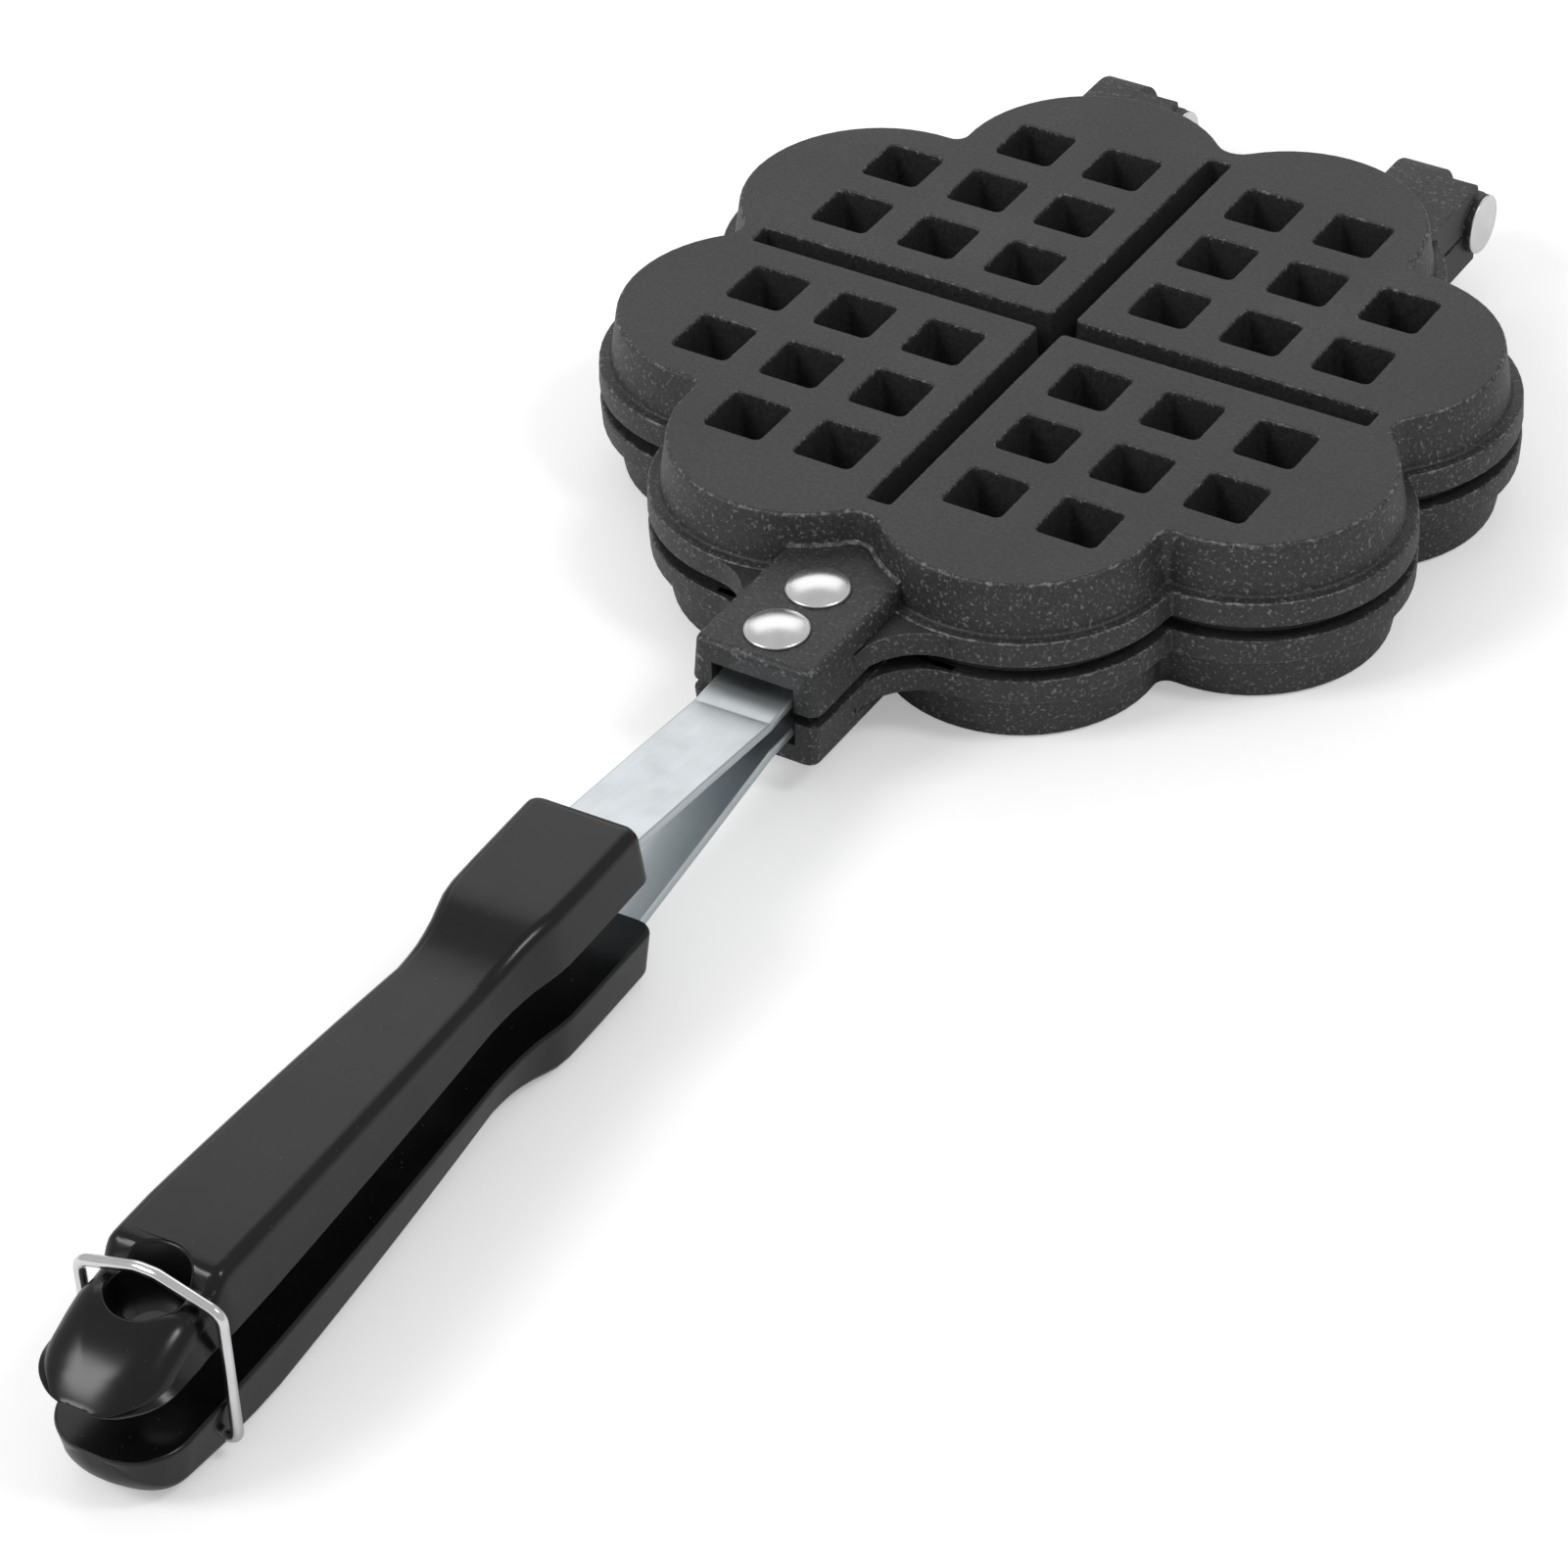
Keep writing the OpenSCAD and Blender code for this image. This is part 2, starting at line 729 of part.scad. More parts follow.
function lower_tail_slices() = concat(
  [slice(palm_distance + 6, palm_height, palm_half_width, grip_rounding)],
  [for (step = tail_steps(tail_corner + 1, 10))
    slice(tail_end - step, rounded(palm_height, heel_rounding, step),
          rounded(palm_half_width, tail_corner, step), grip_rounding)]);

// The hang hole, with or without the funnel at its outer end.
module hang_hole(mouth) {
  translate([0, hang_hole_inset - tail_end, 0]) {
    cylinder(h = half_height + 5, r = hang_hole_radius, $fn = bore_facets);
    translate([0, 0, grip_inner])
      cylinder(h = palm_height - grip_inner, r1 = hang_hole_radius, r2 = mouth, $fn = bore_facets);
  }
}

module grip(tail_slices, mouth) {
  slices = concat(front_slices(), tail_slices);
  last = len(slices) - 1;
  difference() {
    loft(slices, [
      [0, slices[0][0][1], (grip_inner + block_height) / 2],
      [0, slices[last][0][1], grip_inner + 0.4]
    ]);
    tang_strip(fixed_gap);
    hang_hole(mouth);
  }
}

module lower_grip() {
  color("#161617")
    handle()
      mirror([0, 0, 1])
        difference() {
          grip(lower_tail_slices(), hang_hole_radius);
          for (s = [-1, 1])
            translate([s > 0 ? clasp_half_width - clasp_hook - 0.3 : -clasp_half_width, -clasp_distance, clasp_depth])
              axle(bead + clasp_clearance, 0, clasp_hook + 0.3);
        }
}

module upper_grip() {
  color("#18181a")
    handle()
      grip(upper_tail_slices(), hang_funnel_radius);
}

// Points along a bend of the wire, each with its heading.
function wire_bend(middle, radius, from, to, steps) = [
  for (k = [0 : steps])
    let (a = from + (to - from) * k / steps)
    [middle[0] + radius * cos(a), middle[1] + radius * sin(a), a + 90]
];

function half_wire() =
  let (turn = 90 - slope_angle,
       trim = clasp_corner * tan(turn / 2),
       crown_trim = clasp_crown_bend * tan(slope_angle / 2),
       start = clasp_half_width - clasp_end_bend)
  concat(
    [[start - 0.5, 0, 0]],
    wire_bend([start, clasp_end_bend], clasp_end_bend, -90, 0, 6),
    wire_bend([clasp_half_width - clasp_corner, clasp_shoulder - trim], clasp_corner, 0, turn, 6),
    wire_bend([clasp_flat - crown_trim, clasp_peak - clasp_crown_bend], clasp_crown_bend, turn, 90, 3));

module wire_clasp() {
  right = half_wire();
  count = len(right);
  left = [for (i = [0 : count - 1]) let (p = right[count - 1 - i]) [-p[0], p[1], 360 - p[2]]];
  thin = bead - 0.03;
  color("#e9e9ea")
    handle()
      translate([0, -clasp_distance, -clasp_depth]) {
        loft(
          [for (p = concat(right, left)) [for (k = [0 : 15])
            let (a = 22.5 * k)
            [p[0] - thin * sin(a) * sin(p[2]), thin * cos(a), p[1] + thin * sin(a) * cos(p[2])]]],
          [[right[0][0], 0, 0], [left[count - 1][0], 0, 0]]);
        for (s = [-1, 1])
          translate([s > 0 ? clasp_half_width - clasp_hook : clasp_end_bend - clasp_half_width, 0, 0])
            axle(bead, 0, clasp_hook - clasp_end_bend);
      }
}

lower_plate();
upper_plate();
lower_tang();
upper_tang();
lower_grip();
upper_grip();
lower_inner_rivet();
lower_outer_rivet();
upper_inner_rivet();
upper_outer_rivet();
left_hinge_pin();
right_hinge_pin();
wire_clasp();
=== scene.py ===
import math

import bmesh
import bpy
from bpy.props import FloatProperty, FloatVectorProperty, PointerProperty
from mathutils import Matrix, Vector


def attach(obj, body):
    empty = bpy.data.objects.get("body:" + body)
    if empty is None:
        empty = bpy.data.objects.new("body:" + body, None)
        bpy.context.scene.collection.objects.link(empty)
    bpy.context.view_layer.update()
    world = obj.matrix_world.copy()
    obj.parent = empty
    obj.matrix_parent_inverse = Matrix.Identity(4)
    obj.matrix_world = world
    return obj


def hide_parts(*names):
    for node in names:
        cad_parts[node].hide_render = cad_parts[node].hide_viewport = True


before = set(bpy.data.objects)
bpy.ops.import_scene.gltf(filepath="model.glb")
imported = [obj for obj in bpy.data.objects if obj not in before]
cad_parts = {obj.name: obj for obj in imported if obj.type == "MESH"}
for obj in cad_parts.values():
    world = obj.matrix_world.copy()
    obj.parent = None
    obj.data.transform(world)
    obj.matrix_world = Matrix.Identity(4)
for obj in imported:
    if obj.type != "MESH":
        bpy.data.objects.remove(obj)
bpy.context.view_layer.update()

bl_info = {
    "name": "Egg waffle pan",
    "version": (1, 0, 0),
    "blender": (4, 5, 0),
    "location": "View3D > Sidebar > Waffle pan",
    "description": "Models the waffle pan's castings, tangs, grips, rivets and clasp, and sets its stage",
    "category": "Object",
}

MM = 0.001
CAMERA_PLACE = Vector((0.36401, -0.65615, 0.52205))
CAMERA_RIGHT = Vector((0.85212, 0.52241, -0.03126))
CAMERA_UP = Vector((-0.30319, 0.54147, 0.78415))
CAMERA_AHEAD = Vector((-0.42658, 0.65871, -0.61978))
CAMERA_LENS = 116.56
SENSOR = 36.0

# Lengths are in millimetres. MID is the height of the plane between the two halves.
MID = 15.7
LOBE_NEAR, LOBE_FAR, LOBE_RADIUS = 20.7, 49.3, 25.0
VALLEY, DIAGONAL_VALLEY = 4.5, 2.2
FLANGE_REACH = 3.65
POCKET_PITCH, POCKET_FIRST = 18.0, 14.6
POCKET_HALF, POCKET_DEPTH, POCKET_WALL = 5.7, 10.8, 1.8
GROOVE_HALF, GROOVE_REACH, GROOVE_DEPTH = 2.35, 61.7, 9.8
FLOOR_TOP, RIDGE_TOP = 2.5, 11.6
FLANGE_TOP, LIP_TOP = 14.3, 15.55
CELL_POINTS = 64
DRAFT = math.tan(math.radians(2.8))
HINGE_Y, HINGE_X = 88.2, 31.3
LUG_LEFT, LUG_SIDE = 9.0, 8.65
PIN_SEAT, PIN_RADIUS = LUG_SIDE + 1.1, 2.48
RIVETS = (81.2, 94.3)
BOSS_END, BOSS_FACE = 102.4, 5.9
TANG_WIDTH, TANG_THICKNESS = 14.5, 1.9
WIRE_RADIUS = 0.93
HANDLE_TURN = math.radians(1.8)
HANDLE_MID = sum(RIVETS) / 2
GRIP_INNER, GRIP_FRONT, WAIST, PALM_RUN = 4.9, 153.7, 197, 61
GRIP_EDGE = 2.3
TAIL_END = 290.8
PIVOT_Y, PIVOT_DROP = 271.9, 11.9
TAIL_BACK = TAIL_END - PIVOT_Y
HOLE_Y, HOLE_RADIUS = 272.6, 3.6


class CoatingSettings(bpy.types.PropertyGroup):
    """The dark coating of the castings."""

    colour: FloatVectorProperty(
        name="Coating colour", description="Colour of the non-stick coating",
        subtype="COLOR", size=4, min=0, max=1, default=(0.016, 0.016, 0.0165, 1))
    # Colour of the worn edges, also used for painted highlight lines along rims, lips and eased edges, and
    # for pale specks that partly paint light onto the walls.
    wear_and_highlight_colour: FloatVectorProperty(
        name="Worn colour", description="Colour where the coating has worn thin on the edges",
        subtype="COLOR", size=4, min=0, max=1, default=(0.22, 0.22, 0.215, 1))
    grain: FloatProperty(
        name="Grain size", description="Size of the coating's grain",
        unit="LENGTH", default=0.0007, min=0.0001, max=0.003)
    lip: FloatProperty(
        name="Lip rounding", description="Rounding of the pockets' lips",
        unit="LENGTH", default=0.0004, min=0.0002, max=0.001)


class MetalSettings(bpy.types.PropertyGroup):
    """The bare metal of the tangs, rivets, pins and wire."""

    tang_colour: FloatVectorProperty(
        name="Tang colour", description="Colour of the plated strip steel",
        subtype="COLOR", size=4, min=0, max=1, default=(0.66, 0.70, 0.72, 1))
    rivet_colour: FloatVectorProperty(
        name="Rivet colour", description="Colour of the rivets and hinge pins",
        subtype="COLOR", size=4, min=0, max=1, default=(0.86, 0.86, 0.86, 1))
    wire_colour: FloatVectorProperty(
        name="Wire colour", description="Colour of the clasp's wire",
        subtype="COLOR", size=4, min=0, max=1, default=(0.85, 0.85, 0.86, 1))


class GripSettings(bpy.types.PropertyGroup):
    """The moulded grips."""

    colour: FloatVectorProperty(
        name="Grip colour", description="Colour of the moulded grips",
        subtype="COLOR", size=4, min=0, max=1, default=(0.004, 0.004, 0.0045, 1))
    gloss: FloatProperty(
        name="Grip roughness", description="Roughness of the moulded surface",
        default=0.22, min=0.05, max=0.6)


# Materials


def link(tree, source, target):
    """Joins two sockets of a node tree."""
    tree.links.new(source, target)


def blank_material(name):
    """A material with only a Principled shader and its output."""
    material = bpy.data.materials.new(name)
    material.use_nodes = True
    tree = material.node_tree
    return material, tree, tree.nodes["Principled BSDF"]


def new_group(name, inputs, outputs):
    """An empty node group with named sockets, and its two ends."""
    group = bpy.data.node_groups.new(name, "ShaderNodeTree")
    for in_out, sockets in (("INPUT", inputs), ("OUTPUT", outputs)):
        for label, kind in sockets:
            group.interface.new_socket(name=label, in_out=in_out, socket_type=f"NodeSocket{kind}")
    start, end = group.nodes.new("NodeGroupInput"), group.nodes.new("NodeGroupOutput")
    return group, start.outputs, end.inputs


def place_group(tree, group, values):
    """Places a group in a tree with its own values and gives the node."""
    node = tree.nodes.new("ShaderNodeGroup")
    node.node_tree = group
    for label, value in values.items():
        node.inputs[label].default_value = value
    return node


def grain_group():
    """The grain that all materials share: noise on the piece's own coordinates, in metres."""
    if "grain" in bpy.data.node_groups:
        return bpy.data.node_groups["grain"]
    inputs = [("Scale", "Float"), ("Detail", "Float"), ("Roughness", "Float"), ("Stretch", "Vector")]
    group, given, result = new_group("grain", inputs, [("Height", "Float")])
    coordinates = group.nodes.new("ShaderNodeTexCoord")
    mapping = group.nodes.new("ShaderNodeMapping")
    texture = group.nodes.new("ShaderNodeTexNoise")
    link(group, coordinates.outputs["Object"], mapping.inputs["Vector"])
    link(group, given["Stretch"], mapping.inputs["Scale"])
    link(group, mapping.outputs["Vector"], texture.inputs["Vector"])
    for label in ("Scale", "Detail", "Roughness"):
        link(group, given[label], texture.inputs[label])
    link(group, texture.outputs["Fac"], result["Height"])
    return group


def noise(tree, scale, detail=3.0, roughness=0.55, stretch=(1.0, 1.0, 1.0)):
    """Places the grain with its own scale and gives its height."""
    values = {"Scale": scale, "Detail": detail, "Roughness": roughness, "Stretch": stretch}
    return place_group(tree, grain_group(), values).outputs["Height"]


def spread(tree, value, low, high, out_low, out_high):
    """Maps a value's range onto another range."""
    node = tree.nodes.new("ShaderNodeMapRange")
    node.inputs["From Min"].default_value = low
    node.inputs["From Max"].default_value = high
    node.inputs["To Min"].default_value = out_low
    node.inputs["To Max"].default_value = out_high
    link(tree, value, node.inputs["Value"])
    return node.outputs["Result"]


def combine(tree, operation, first, second):
    """Joins two values, or a value and a number, by arithmetic."""
    node = tree.nodes.new("ShaderNodeMath")
    node.operation = operation
    link(tree, first, node.inputs[0])
    if isinstance(second, (int, float)):
        node.inputs[1].default_value = second
    else:
        link(tree, second, node.inputs[1])
    return node.outputs[0]


def tint(tree, factor, low, high):
    """Mixes two colours, or colour sockets, by a factor."""
    node = tree.nodes.new("ShaderNodeMix")
    node.data_type = "RGBA"
    for socket, colour in ((node.inputs["A"], low), (node.inputs["B"], high)):
        if isinstance(colour, bpy.types.NodeSocket):
            link(tree, colour, socket)
        else:
            socket.default_value = colour
    link(tree, factor, node.inputs["Factor"])
    return node.outputs["Result"]


def relief(tree, height, shader, strength, distance):
    """Feeds a height into the shader's normal."""
    bump = tree.nodes.new("ShaderNodeBump")
    bump.inputs["Strength"].default_value = strength
    bump.inputs["Distance"].default_value = distance
    link(tree, height, bump.inputs["Height"])
    link(tree, bump.outputs["Normal"], shader.inputs["Normal"])


def shade(colour, factor):
    """A colour made lighter or darker."""
    return tuple(min(c * factor, 1) for c in colour[:3]) + (1,)


def mottle_group():
    """The mottling of bright metal: its colour and roughness vary with the grain."""
    if "mottle" in bpy.data.node_groups:
        return bpy.data.node_groups["mottle"]
    inputs = [("Scale", "Float"), ("Dark colour", "Color"), ("Light colour", "Color"),
              ("Least roughness", "Float"), ("Most roughness", "Float")]
    group, given, result = new_group("mottle", inputs, [("Colour", "Color"), ("Roughness", "Float")])
    grain = place_group(group, grain_group(), {"Detail": 3.0, "Roughness": 0.55, "Stretch": (1.0, 1.0, 1.0)})
    link(group, given["Scale"], grain.inputs["Scale"])
    height = grain.outputs["Height"]
    colour = tint(group, spread(group, height, 0.35, 0.7, 0, 1), given["Dark colour"], given["Light colour"])
    rough = spread(group, height, 0.3, 0.7, 0, 1)
    link(group, given["Least roughness"], rough.node.inputs["To Min"])
    link(group, given["Most roughness"], rough.node.inputs["To Max"])
    link(group, colour, result["Colour"])
    link(group, rough, result["Roughness"])
    return group


def coating_material(name, colour, wear_and_highlight_colour, grain):
    """Dark cast coating: fine grain, faint clouds, wear and painted highlight lines along the edges, and
    pale specks that partly paint light onto the walls.
    """
    material, tree, shader = blank_material(name)
    fine = noise(tree, 1 / grain, 4.0)
    cloud = noise(tree, 30.0, 3.0)
    specks = noise(tree, 1500.0, 2.0, 0.5)
    chips = noise(tree, 650.0, 5.0, 0.75)
    base = tint(tree, spread(tree, fine, 0.35, 0.7, 0, 1), colour, shade(colour, 2.2))
    base = tint(tree, spread(tree, cloud, 0.45, 0.75, 0, 0.3), base, shade(colour, 2.0))
    # The wear_and_highlight attribute marks worn edges and painted highlight lines; its mask turns the
    # coating towards the worn colour.
    wear_and_highlight = tree.nodes.new("ShaderNodeAttribute")
    wear_and_highlight.attribute_name = "wear_and_highlight"
    uneven = spread(tree, chips, 0.25, 0.75, -0.75, 0.75)
    edge = combine(tree, "ADD", wear_and_highlight.outputs["Fac"], uneven)
    bright = spread(tree, edge, 0.62, 1.15, 0, 1)
    # Specks are sparse on the flat top and full on the walls, where the attribute reaches 0.15: real pale
    # specks, and partly painted light that makes the walls lighter.
    dots = spread(tree, specks, 0.58, 0.72, 0, 0.7)
    dots = combine(tree, "MULTIPLY", dots, spread(tree, wear_and_highlight.outputs["Fac"], 0.0, 0.15, 0.1, 1.0))
    mask = combine(tree, "MAXIMUM", bright, dots)
    link(tree, tint(tree, mask, base, wear_and_highlight_colour), shader.inputs["Base Color"])
    link(tree, spread(tree, cloud, 0.3, 0.7, 0.46, 0.54), shader.inputs["Roughness"])
    relief(tree, fine, shader, 0.35, 0.00014)
    return material


def steel_material(name, colour, roughness):
    """Plated strip: satin, drawn along its length, with faint blotches."""
    material, tree, shader = blank_material(name)
    drawn = noise(tree, 900.0, 2.0, 0.5, (1.0, 0.04, 1.0))
    blotch = noise(tree, 120.0, 3.0)
    base = tint(tree, spread(tree, drawn, 0.3, 0.7, 0, 1), shade(colour, 0.95), colour)
    link(tree, tint(tree, spread(tree, blotch, 0.52, 0.8, 0, 0.4), base, shade(colour, 0.8)),
         shader.inputs["Base Color"])
    rough = spread(tree, blotch, 0.3, 0.7, roughness - 0.05, roughness + 0.07)
    link(tree, rough, shader.inputs["Roughness"])
    shader.inputs["Metallic"].default_value = 1.0
    relief(tree, drawn, shader, 0.15, 0.00003)
    return material


def turned_material(name, colour, roughness):
    """Bright metal with faint mottling."""
    material, tree, shader = blank_material(name)
    mottle = place_group(tree, mottle_group(), {
        "Scale": 260.0, "Dark colour": shade(colour, 0.93), "Light colour": colour,
        "Least roughness": roughness - 0.03, "Most roughness": roughness + 0.03})
    link(tree, mottle.outputs["Colour"], shader.inputs["Base Color"])
    link(tree, mottle.outputs["Roughness"], shader.inputs["Roughness"])
    shader.inputs["Metallic"].default_value = 1.0
    return material


def grip_material(name, colour, roughness):
    """Black glossy moulding with dust specks and soft ripples."""
    material, tree, shader = blank_material(name)
    specks = noise(tree, 1900.0, 1.0, 0.4)
    ripple = noise(tree, 90.0, 2.0)
    mask = spread(tree, specks, 0.78, 0.82, 0, 0.25)
    shader.inputs["IOR"].default_value = 1.42
    link(tree, tint(tree, mask, colour, (0.25, 0.25, 0.25, 1)), shader.inputs["Base Color"])
    rough = spread(tree, ripple, 0.3, 0.7, roughness - 0.03, roughness + 0.05)
    link(tree, rough, shader.inputs["Roughness"])
    relief(tree, ripple, shader, 0.12, 0.0003)
    return material


# Mesh helpers


def place(verts, points, layer=None, value=0.0):
    """Sets vertices to points in millimetres, and their level of wear and painted highlight."""
    for vert, point in zip(verts, points):
        vert.co = Vector(point) * MM
        if layer is not None:
            vert[layer] = value


def ring_edges(ring):
    """The edges of a closed ring of vertices."""
    edges = []
    for i, vert in enumerate(ring):
        following = ring[(i + 1) % len(ring)]
        edges.append(next(e for e in vert.link_edges if e.other_vert(vert) is following))
    return edges


def start_ring(shape, points, layer=None, value=0.0):
    """A closed ring of edges through the points."""
    ring = bmesh.ops.create_circle(shape, cap_ends=False, radius=1, segments=len(points))["verts"]
    place(ring, points, layer, value)
    return ring


def next_ring(shape, ring, points, layer=None, value=0.0):
    """Extrudes a ring onto new points and gives the new ring in the same order."""
    made = bmesh.ops.extrude_edge_only(shape, edges=ring_edges(ring))["geom"]
    fresh = {item for item in made if isinstance(item, bmesh.types.BMVert)}
    new = [next(e.other_vert(v) for e in v.link_edges if e.other_vert(v) in fresh) for v in ring]
    place(new, points, layer, value)
    return new


def cap(shape, ring):
    """Closes a ring with one face."""
    bmesh.ops.edgeloop_fill(shape, edges=ring_edges(ring))


def loft(shape, rings, layer=None, wear_and_highlight=None):
    """A closed skin through rings of points."""
    ring = first = start_ring(shape, rings[0], layer, wear_and_highlight[0] if wear_and_highlight else 0.0)
    for i, points in enumerate(rings[1:], 1):
        ring = next_ring(shape, ring, points, layer, wear_and_highlight[i] if wear_and_highlight else 0.0)
    cap(shape, first)
    cap(shape, ring)


def fill_between(shape, rings):
    """Fills a flat face between an outer ring and the rings inside it."""
    edges = [edge for ring in rings for edge in ring_edges(ring)]
    bmesh.ops.triangle_fill(shape, use_beauty=True, use_dissolve=False, edges=edges)


def flat(points, height):
    """Plan points at one height."""
    return [(x, y, height) for x, y in points]


def arc(middle, radius, start, end, steps):
    """Points along an arc, angles in radians."""
    angles = [start + (end - start) * k / steps for k in range(steps + 1)]
    return [(middle[0] + radius * math.cos(a), middle[1] + radius * math.sin(a)) for a in angles]


def rounded_corners(corners, radii, steps):
    """A closed outline whose corners are rounded by arcs."""
    points = []
    count = len(corners)
    for i, radius in enumerate(radii):
        here, before, after = (Vector(corners[k % count]) for k in (i, i - 1, i + 1))
        back, ahead = (before - here).normalized(), (after - here).normalized()
        half = back.angle(ahead) / 2
        reach = radius / math.tan(half)
        middle = here + (back + ahead).normalized() * (radius / math.sin(half))
        one, two = here + back * reach - middle, here + ahead * reach - middle
        turn = one.angle_signed(two)
        for k in range(steps + 1):
            spin = Matrix.Rotation(-turn * k / steps, 2)
            points.append(tuple(middle + spin @ one))
    return points


def square(middle, half, corner, steps=4):
    """A square outline with rounded corners."""
    x, y = middle
    signs = ((1, 1), (-1, 1), (-1, -1), (1, -1))
    return rounded_corners([(x + half * a, y + half * b) for a, b in signs], [corner] * 4, steps)


def in_handle(point):
    """A point of the handle, over its mid plane, in the pan's frame."""
    x, y, z = point
    y += HANDLE_MID
    return (x * math.cos(HANDLE_TURN) - y * math.sin(HANDLE_TURN),
            x * math.sin(HANDLE_TURN) + y * math.cos(HANDLE_TURN) - HANDLE_MID, z + MID)


def upside(shape):
    """Turns a lower piece's skin into the upper one's."""
    for vert in shape.verts:
        vert.co.z = 2 * MID * MM - vert.co.z


def finish_piece(name, shape, material, body, nodes, sharp=38.0):
    """Makes the object, shades it and sets it on its body in place of the CAD nodes."""
    bmesh.ops.recalc_face_normals(shape, faces=shape.faces)
    mesh = bpy.data.meshes.new(name)
    shape.to_mesh(mesh)
    shape.free()
    mesh.shade_smooth()
    mesh.set_sharp_from_angle(angle=math.radians(sharp))
    piece = bpy.data.objects.new(name, mesh)
    bpy.context.scene.collection.objects.link(piece)
    mesh.materials.append(material)
    even = piece.modifiers.new("even", "WEIGHTED_NORMAL")
    even.keep_sharp = True
    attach(piece, body)
    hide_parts(*nodes)
    return piece


def cut(shape, cutter):
    """Cuts one closed skin with another and gives the result."""
    holders = []
    for part in (shape, cutter):
        bmesh.ops.recalc_face_normals(part, faces=part.faces)
        mesh = bpy.data.meshes.new("work")
        part.to_mesh(mesh)
        part.free()
        holder = bpy.data.objects.new("work", mesh)
        bpy.context.scene.collection.objects.link(holder)
        holders.append(holder)
    step = holders[0].modifiers.new("cut", "BOOLEAN")
    step.operation = "DIFFERENCE"
    step.solver = "EXACT"
    step.object = holders[1]
    bpy.context.view_layer.update()
    seen = holders[0].evaluated_get(bpy.context.evaluated_depsgraph_get())
    result = bmesh.new()
    result.from_mesh(seen.to_mesh())
    seen.to_mesh_clear()
    for holder in holders:
        mesh = holder.data
        bpy.data.objects.remove(holder)
        bpy.data.meshes.remove(mesh)
    return result


# Castings


def lobe(i):
    """The middle of lobe number i, counted from the +X axis."""
    x, y = (LOBE_FAR, LOBE_NEAR) if i % 2 == 0 else (LOBE_NEAR, LOBE_FAR)
    for _ in range((i // 2) % 4):
        x, y = -y, x
    return Vector((x, y))


def valley(i, grow):
    """The middle and radius of the rounding between lobes i and i + 1."""
    small = max((DIAGONAL_VALLEY if i % 2 == 0 else VALLEY) - grow, 0.5)
    a, b = lobe(i), lobe(i + 1)
    middle = (a + b) / 2
    out = math.sqrt((LOBE_RADIUS + grow + small) ** 2 - ((b - a).length / 2) ** 2)
    return middle + middle.normalized() * out, small


def heading(v):
    """The direction of a plan vector, in radians from the +X axis."""
    return math.atan2(v.y, v.x)


def flower(grow, arc_steps=22, valley_steps=6):
    """The flower outline, grown outward by a distance."""
    points = []
    for i in range(8):
        big, c = LOBE_RADIUS + grow, lobe(i)
        before = valley((i + 7) % 8, grow)[0]
        after, small = valley(i, grow)
        start, end = heading(before - c), heading(after - c)
        end += 2 * math.pi if end < start else 0
        points += arc(c, big, start, end, arc_steps)
        start, end = heading(c - after), heading(lobe(i + 1) - after)
        end -= 2 * math.pi if end > start else 0
        points += arc(after, small, start, end, valley_steps)[1:-1]
    return points


def along(points, count):
    """Spreads a number of points evenly along an open line."""
    lengths = [0.0]
    for p, q in zip(points, points[1:]):
        lengths.append(lengths[-1] + math.dist(p, q))
    result, i = [], 0
    for k in range(count):
        want = lengths[-1] * k / (count - 1)
        while i < len(points) - 2 and lengths[i + 1] < want:
            i += 1
        share = (want - lengths[i]) / max(lengths[i + 1] - lengths[i], 1e-9)
        result.append(tuple(a + (b - a) * share for a, b in zip(points[i], points[i + 1])))
    return result


def quarter_turn(points, times):
    """Turns plan points about the middle by quarter turns."""
    for _ in range(times):
        points = [(-y, x) for x, y in points]
    return points


def cell_arc(grow, half):
    """The first quarter of the inside outline, between the two arms of the ridge."""
    inside = flower(grow, 60, 16)
    kept = sorted((p for p in inside if p[0] > half and p[1] > half),
                  key=lambda p: math.atan2(p[1], p[0]))
    start = min((p for p in inside if p[0] > 0), key=lambda p: abs(p[1] - half))[0]
    return along([(start, half)] + kept[1:-1] + [(half, start)], CELL_POINTS)


def inside_outline(grow, half):
    """The whole inside outline, with its own points where the ridge meets the wall."""
    first = cell_arc(grow, half)
    middle, small = valley(1, grow)
    tip = middle.y - small
    between = [(half * 0.5, tip + small * 0.02), (0.0, tip), (-half * 0.5, tip + small * 0.02)]
    points = []
    for turn in range(4):
        points += quarter_turn(first + between, turn)
    return points


def ridge_half(height):
    """Half width of the ridge at a height."""
    return GROOVE_HALF + POCKET_WALL - DRAFT * height


def cross(grow, reach_grow=None):
    """The outline of the cross groove."""
    half, reach = GROOVE_HALF + grow, GROOVE_REACH + (grow if reach_grow is None else reach_grow)
    corners, radii = [], []
    for turn in range(4):
        corners += quarter_turn([(reach, -half), (reach, half), (half, half)], turn)
        radii += [0.7 + max(grow, -0.5), 0.7 + max(grow, -0.5), 1.1 - grow]
    return rounded_corners(corners, radii, 3)


def pocket_places():
    """The middles of all pockets, with the quarter that each lies in."""
    for turn in range(4):
        for i in range(3):
            for j in range(3):
                if i + j < 4:
                    here = [(POCKET_FIRST + i * POCKET_PITCH, POCKET_FIRST + j * POCKET_PITCH)]
                    yield turn, quarter_turn(here, turn)[0]


def rounding(radius, steps):
    """Steps of height and growth over a quarter round, from flat to upright."""
    return [(radius * (1 - math.cos(a)), -radius * (1 - math.sin(a)))
            for a in (math.pi / 2 * k / steps for k in range(steps + 1))]


